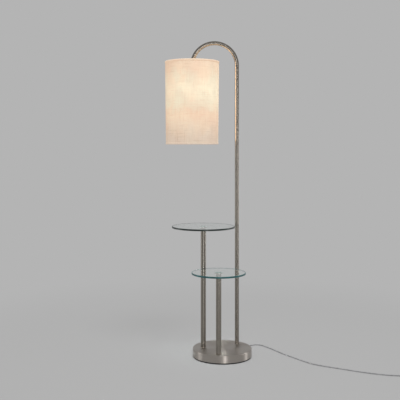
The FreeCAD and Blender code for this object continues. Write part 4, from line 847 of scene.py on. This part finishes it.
def lathe(name: str, outline: Sequence[tuple[float, float]], centre: Point, steps: int,
          material: bpy.types.Material, body: Body) -> bpy.types.Object:
    """A closed outline of radius and height turned round an upright axis.

    Args:
        name: the piece's name.
        outline: radius and height of each corner, in order round the section.
        centre: a point on the axis; the outline's heights are measured from it.
        steps: how many faces go round.
        material: the finish.
        body: the body that it rides on.

    Returns:
        The piece, with a UV map in metres round and across the section.
    """
    made = bmesh.new()
    cloth = made.loops.layers.uv.new("cloth")
    rings = []
    for step in range(steps):
        angle = 2 * math.pi * step / steps
        rings.append([made.verts.new((centre[0] + radius * math.cos(angle),
                                      centre[1] + radius * math.sin(angle),
                                      centre[2] + height)) for radius, height in outline])
    count = len(outline)
    run = [0.0]
    for index, corner in enumerate(outline):
        run.append(run[-1] + math.dist(corner, outline[(index + 1) % count]))
    widest = max(radius for radius, _ in outline)
    for step in range(steps):
        here, there = rings[step], rings[(step + 1) % steps]
        left = 2 * math.pi * widest * step / steps
        right = 2 * math.pi * widest * (step + 1) / steps
        for index in range(count):
            ahead = (index + 1) % count
            face = made.faces.new((here[index], there[index], there[ahead], here[ahead]))
            for loop, spot in zip(face.loops, ((left, run[index]), (right, run[index]),
                                               (right, run[index + 1]), (left, run[index + 1]))):
                loop[cloth].uv = spot
    bmesh.ops.recalc_face_normals(made, faces=made.faces)
    mesh = bpy.data.meshes.new(name)
    made.to_mesh(mesh)
    made.free()
    mesh.shade_smooth()
    mesh.set_sharp_from_angle(angle=SHARP_EDGE)
    return link_mesh(name, mesh, material, body)


# ---------------------------------------------------------------- the shade


@dataclass
class Shade:
    """The drum's linen sheet and the two turned hems."""

    finishes: Finishes
    axis: Point = HEAD_AXIS
    top: float = 1.4125
    bottom: float = 1.0105
    top_radius: float = 0.1309
    bottom_radius: float = 0.1271
    cloth_thickness: float = 0.0005
    seam: float = math.radians(78)
    lap: float = 0.10
    lap_lift: float = 0.0006
    slack: float = 0.0007
    hem_height: float = 0.0075
    hem_gap: float = 0.0003
    hem_proud: float = 0.0009
    hem_depth: float = 0.0056
    hem_crown: float = 0.0006
    hem_tuck: float = 0.0046
    hem_fold: float = 0.0012

    def cloth(self) -> None:
        """The linen sheet, stretched round the liner."""
        flat = drum_cloth_tree().mesh(
            "shade_linen_sheet", self.finishes.made["shade_cloth"],
            Matrix.Translation(at_height(self.axis, self.bottom)),
            Columns=289, Rows=129, Bottom_Radius=self.bottom_radius,
            Top_Radius=self.top_radius, Height=self.top - self.bottom, Seam=self.seam,
            Lap=self.lap, Lap_Lift=self.lap_lift, Slack=self.slack)
        sheet = link_mesh("shade_linen", flat, self.finishes.made["shade_cloth"], Body.FRAME)
        wall = sheet.modifiers.new("wall", "SOLIDIFY")
        wall.thickness = self.cloth_thickness
        wall.offset = 0.0
        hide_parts("shade_fabric")

    def hem(self, name: str, node: str, edge: float, radius: float, upward: float) -> None:
        """A band of the same linen turned over one edge and the wire inside it."""
        wire = radius + self.hem_gap
        outer = wire + self.hem_proud
        inner = radius - self.hem_depth
        crown = edge + upward * self.hem_crown
        low = edge - upward * self.hem_height
        inside = edge - upward * self.hem_tuck
        fold, rise = self.hem_fold, upward * self.hem_fold
        outline = [(wire, low), (outer - fold / 4, low), (outer, low + rise / 3),
                   (outer, crown - rise), (outer - fold * 5 / 12, crown - rise / 4),
                   (outer - fold, crown), (inner + fold, crown),
                   (inner + fold / 3, crown - rise / 3), (inner, crown - rise),
                   (inner, inside), (inner + fold / 2, inside),
                   (inner + fold * 2 / 3, edge - rise / 6), (wire, edge - rise / 12)]
        band = lathe(name, outline, self.axis, 192, self.finishes.made["shade_cloth"],
                     Body.FRAME)
        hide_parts(node)

    def build(self) -> None:
        """Makes the cloth and both hems."""
        self.cloth()
        self.hem("shade_hem_top", "shade_top_hem", self.top, self.top_radius, 1.0)
        self.hem("shade_hem_bottom", "shade_bottom_hem", self.bottom, self.bottom_radius, -1.0)


# ---------------------------------------------------------------- fine detail


def lying(heading: float) -> Matrix:
    """The turn that lays an upright stack on the floor along a heading."""
    return Matrix.Rotation(heading, 4, "Z") @ Matrix.Rotation(math.pi / 2, 4, "Y")


@dataclass
class FineDetail:
    """Ribs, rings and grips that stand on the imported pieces."""

    finishes: Finishes
    exit_angle: float = math.radians(50.0)
    gland_start: float = 0.1455
    thread_foot: float = 1.3170
    ring_foot: float = 1.3350
    switch_middle: Point = (0.8580, -0.2882, 0.0260)
    button_travel: float = 0.003
    plug_start: Point = (0.9367, -0.1463, 0.0073)
    plug_heading: float = math.radians(102.5)
    neck_start: float = 0.003

    def spring(self, spring: bpy.types.Object) -> None:
        """Gives the switch's spring a mesh of its own."""
        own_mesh(spring)

    def build(self) -> None:
        """Makes every detail."""
        ribs = rib_stack_tree()
        gland = Vector((math.cos(self.exit_angle) * self.gland_start,
                        math.sin(self.exit_angle) * self.gland_start, EXIT[2]))
        stacks = [
            ("gland_ribs", "cord_grey", Body.FRAME,
             Matrix.Translation(gland) @ lying(self.exit_angle),
             dict(Count=8, Length=0.0205, First_Radius=0.00545, Last_Radius=0.0042,
                  Rib=0.00045)),
            ("plug_neck_ribs", "plug_grey", Body.FRAME,
             Matrix.Translation(self.plug_start) @ lying(self.plug_heading)
             @ Matrix.Translation((0.0, 0.0, self.neck_start)),
             dict(Count=7, Length=0.017, First_Radius=0.00438, Last_Radius=0.00565,
                  Rib=0.0005)),
            ("holder_thread_rings", "holder_black", Body.FRAME,
             Matrix.Translation(at_height(HEAD_AXIS, self.thread_foot)),
             dict(Count=6, Length=0.0125, First_Radius=0.01945, Last_Radius=0.01945,
                  Rib=0.0006)),
            ("ring_grip_upper", "holder_black", Body.RING,
             Matrix.Translation(at_height(HEAD_AXIS, self.ring_foot)),
             dict(Count=5, Length=0.0060, First_Radius=0.0260, Last_Radius=0.0260,
                  Rib=0.0005)),
            ("button_grip_rings", "button_grey", Body.BUTTON,
             Matrix.Translation(self.switch_middle),
             dict(Count=4, Length=0.0, First_Radius=0.0085, Last_Radius=0.0025,
                  Rib=0.0004)),
        ]
        for name, finish, body, turn, values in stacks:
            material = self.finishes.made[finish]
            piece = link_mesh(name, ribs.mesh(name, material, turn, **values), material, body)


# ---------------------------------------------------------------- the flex


EXIT = (0.0900, 0.1072, 0.0145)
FLEX_POINTS: Sequence[Point] = (
    EXIT, (0.1163, 0.1387, 0.0145), (0.1480, 0.1765, 0.0030), (0.1690, 0.1910, 0.0030),
    (0.1920, 0.1890, 0.0030), (0.2115, 0.1700, 0.0030), (0.2330, 0.1360, 0.0030),
    (0.2580, 0.0930, 0.0030), (0.2875, 0.0380, 0.0030), (0.3210, -0.0135, 0.0030),
    (0.3585, -0.0690, 0.0030), (0.4020, -0.1310, 0.0030), (0.4470, -0.1645, 0.0030),
    (0.5050, -0.1970, 0.0030), (0.5680, -0.2355, 0.0030), (0.6320, -0.2700, 0.0030),
    (0.6960, -0.2970, 0.0030), (0.7520, -0.3090, 0.0030), (0.7830, -0.3110, 0.0030),
    (0.8030, -0.3070, 0.0085), (0.8220, -0.3005, 0.0085), (0.8258, -0.2992, 0.0085),
)
LEAD_POINTS: Sequence[Point] = (
    (0.8901, -0.2772, 0.0085), (0.8939, -0.2759, 0.0085), (0.9147, -0.2688, 0.0085),
    (0.9325, -0.2527, 0.0062), (0.9423, -0.2308, 0.00395), (0.9423, -0.2108, 0.00395),
)
TAIL_POINTS: Sequence[Point] = (
    (0.9423, -0.1818, 0.0096), (0.9406, -0.1639, 0.0076), (0.9367, -0.1463, 0.0073),
)


@dataclass
class Flex:
    """The flex outside the lamp: to the foot switch, then through the coil to the plug."""

    finishes: Finishes
    diameter: float = 0.0055
    coil_centre: tuple[float, float] = (0.9063, -0.2053)
    coil_radius: float = 0.036
    coil_pitch: float = 0.0061
    coil_turns: float = 5.0
    coil_base: float = 0.00395
    points_a_turn: int = 14

    def coil_point(self, turns: float) -> Point:
        """The coil's centreline after so many turns."""
        half = self.coil_turns / 2
        climb = 0.25
        away = abs(turns - half)
        inward = half - away if away > climb else half - (climb + away ** 2 / climb) / 2
        rise = min(max((turns - half + climb) / (2 * climb), 0.0), 1.0)
        radius = self.coil_radius - self.coil_pitch * inward
        angle = 2 * math.pi * turns
        return (self.coil_centre[0] + radius * math.cos(angle),
                self.coil_centre[1] + radius * math.sin(angle),
                self.coil_base + self.coil_pitch * rise * rise * (3 - 2 * rise))

    def line(self, name: str, points: Sequence[Point]) -> bpy.types.Object:
        """A round cord along a smooth spline with these control points."""
        curve = bpy.data.curves.new(name, "CURVE")
        curve.dimensions = "3D"
        curve.bevel_depth = 1.0
        curve.bevel_resolution = 4
        curve.resolution_u = 8
        curve.use_fill_caps = True
        spline = curve.splines.new("NURBS")
        spline.points.add(len(points) - 1)
        for target, point in zip(spline.points, points):
            target.co = (*point, 1.0)
            target.radius = self.diameter / 2
        spline.order_u = 3
        spline.use_endpoint_u = True
        cord = bpy.data.objects.new(name, curve)
        bpy.context.scene.collection.objects.link(cord)
        curve.materials.append(self.finishes.made["cord_grey"])
        return cord

    @staticmethod
    def length_of(cord: bpy.types.Object) -> float:
        """The length of a curve's own centreline."""
        bevel = cord.data.bevel_depth
        cord.data.bevel_depth = 0.0
        bpy.context.view_layer.update()
        seen = cord.evaluated_get(bpy.context.evaluated_depsgraph_get())
        mesh = bpy.data.meshes.new_from_object(seen)
        total = sum((mesh.vertices[edge.vertices[0]].co - mesh.vertices[edge.vertices[1]].co)
                    .length for edge in mesh.edges)
        bpy.data.meshes.remove(mesh)
        cord.data.bevel_depth = bevel
        return total

    def build(self, nodes: dict[str, bpy.types.Object]) -> None:
        """Makes both stretches, hides the solid cords that they replace, and logs each one's
        length.
        """
        steps = round(self.coil_turns * self.points_a_turn)
        coil = [self.coil_point(self.coil_turns * step / steps) for step in range(steps + 1)]
        first = self.line("flex_to_switch", FLEX_POINTS)
        second = self.line("flex_to_plug", [*LEAD_POINTS, *coil, *TAIL_POINTS])
        for cord, solids in ((first, ["power_cord"]),
                             (second, ["switch_lead", "cord_coil", "plug_lead"])):
            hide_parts(*solids)
            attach(cord, Body.FRAME.value)
            LOG.info("%s is %.3f m long", cord.name, self.length_of(cord))
        round(self.length_of(first), 3)
        round(self.length_of(second), 3)


# ---------------------------------------------------------------- camera, floor and light


@dataclass
class Studio:
    """The photograph's camera, a plain grey floor and soft light."""

    camera_place: Point = (-0.106, -3.53, 1.007)
    lens: float = 66.6
    shift: float = -0.1375
    grey: Colour = linear(180, 180, 180)
    floor_evenness: float = 0.66
    shadow_ends: tuple[float, float] = (0.9, 2.2)
    base_rim: tuple[float, float] = (0.137, 0.143)

    def camera(self) -> None:
        """Puts the camera where the photograph was taken from."""
        data = bpy.data.cameras.new("photo_camera")
        data.sensor_width = 36.0
        data.lens = self.lens
        data.shift_y = self.shift
        data.clip_end = 100.0
        camera = bpy.data.objects.new("photo_camera", data)
        camera.location = self.camera_place
        camera.rotation_euler = (math.pi / 2, 0.0, 0.0)
        bpy.context.scene.collection.objects.link(camera)
        bpy.context.scene.camera = camera

    def floor(self) -> None:
        """A plain floor that shows the background's grey and keeps the lamp's shadow."""
        mesh = bpy.data.meshes.new("floor")
        reach = 12.0
        mesh.from_pydata([(-reach, -reach, 0), (reach, -reach, 0), (reach, reach, 0),
                          (-reach, reach, 0)], [], [(0, 1, 2, 3)])
        floor = bpy.data.objects.new("floor", mesh)
        bpy.context.scene.collection.objects.link(floor)
        material, graph, shader = new_material("floor_paint")
        graph.wire(shader, Base_Color=self.grey, Roughness=0.9, Specular_IOR_Level=0.0)
        radius, _, _ = graph.polar(object_place(graph))
        even = graph.times(graph.spread(radius, *self.shadow_ends, self.floor_evenness, 1.0),
                           graph.spread(radius, *self.base_rim))
        plain = graph.add("ShaderNodeEmission", Color=self.grey, Strength=1.0)
        blend = graph.add("ShaderNodeMixShader", input_0=graph.times(even, self.seen(graph)),
                          input_1=shader, input_2=plain)
        graph.feed(surface_of(material), blend)
        mesh.materials.append(material)

    @staticmethod
    def seen(graph: Graph) -> Socket:
        """One where the camera, a reflection or a look through glass meets a surface."""
        path = graph.add("ShaderNodeLightPath").outputs
        return graph.math("MAXIMUM", path["Is Camera Ray"], graph.math(
            "MAXIMUM", path["Is Glossy Ray"], path["Is Transmission Ray"]))

    def world(self) -> None:
        """Even light, with the background's grey where the camera or a reflection looks."""
        world = bpy.data.worlds.new("studio_air")
        world.use_nodes = True
        world.node_tree.nodes.clear()
        graph = Graph(world.node_tree)
        light = graph.add("ShaderNodeBackground", Color=(1.0, 1.0, 1.0), Strength=0.66)
        seen = graph.add("ShaderNodeBackground", Color=self.grey, Strength=1.0)
        blend = graph.add("ShaderNodeMixShader", input_0=self.seen(graph), input_1=light,
                          input_2=seen)
        graph.add("ShaderNodeOutputWorld", Surface=blend)
        bpy.context.scene.world = world

    @staticmethod
    def panel(name: str, place: Point, aim: Point, width: float, height: float,
              power: float, colour: Colour = (1.0, 1.0, 1.0),
              spread: float = math.pi) -> bpy.types.Object:
        """A soft rectangular light turned towards a point.

        Args:
            name: the light's name.
            place: its middle.
            aim: the point that it faces.
            width: its size across.
            height: its size up and down.
            power: its power in watts.
            colour: its colour.
            spread: how wide it shines, as a full angle.

        Returns:
            The light.
        """
        data = bpy.data.lights.new(name, "AREA")
        data.shape = "RECTANGLE"
        data.size = width
        data.size_y = height
        data.energy = power
        data.color = colour
        data.spread = spread
        light = bpy.data.objects.new(name, data)
        light.visible_camera = False
        light.location = place
        way = Vector(aim) - Vector(place)
        light.rotation_euler = way.to_track_quat("-Z", "Y").to_euler()
        bpy.context.scene.collection.objects.link(light)
        return light

    def lights(self) -> None:
        """Narrow upright lights that streak the metal, and a soft one from above."""
        streaks = [
            self.panel("front_strip", (0.55, -3.4, 1.05), (0.0, 0.0, 0.5),
                       width=0.30, height=2.0, power=23.0),
            self.panel("left_strip", (-2.7, 0.35, 0.62), (0.0, 0.0, 0.4),
                       width=0.30, height=0.75, power=7.0),
            self.panel("right_strip", (2.7, 0.55, 0.62), (0.0, 0.0, 0.4),
                       width=0.30, height=0.75, power=12.0),
        ]
        for light in streaks:
            light.visible_diffuse = False
        above = self.panel("top_softbox", (0.155, -0.71, 3.2), (-0.05, 0.0, 0.0),
                           width=0.55, height=0.55, power=30.0)
        above.visible_glossy = False
        warm = (1.0, 0.72, 0.50)
        self.panel("shade_side_glow", (-0.001, 0.044, 1.215), at_height(STEM_AXIS, 1.215),
                   width=0.03, height=0.38, power=0.11, colour=warm, spread=1.7)
        self.panel("shade_top_glow", at_height(HEAD_AXIS, 1.375), at_height(HEAD_AXIS, 2.0),
                   width=0.16, height=0.16, power=0.55, colour=warm)

    def build(self) -> None:
        """Makes the studio."""
        self.camera()
        self.floor()
        self.world()
        self.lights()
        bpy.context.scene.view_settings.view_transform = "Standard"


def main() -> None:
    """Builds and reports every piece in order."""
    logging.basicConfig(level=logging.INFO, format="%(name)s: %(message)s")
    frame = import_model()
    nodes = frame["nodes"]
    Studio().build()
    finishes = Finishes()
    finishes.dress(nodes)
    Flex(finishes).build(nodes)
    Shade(finishes).build()
    detail = FineDetail(finishes)
    detail.build()
    detail.spring(nodes["switch_spring"])
    bpy.context.view_layer.update()


if __name__ == "__main__":
    main()
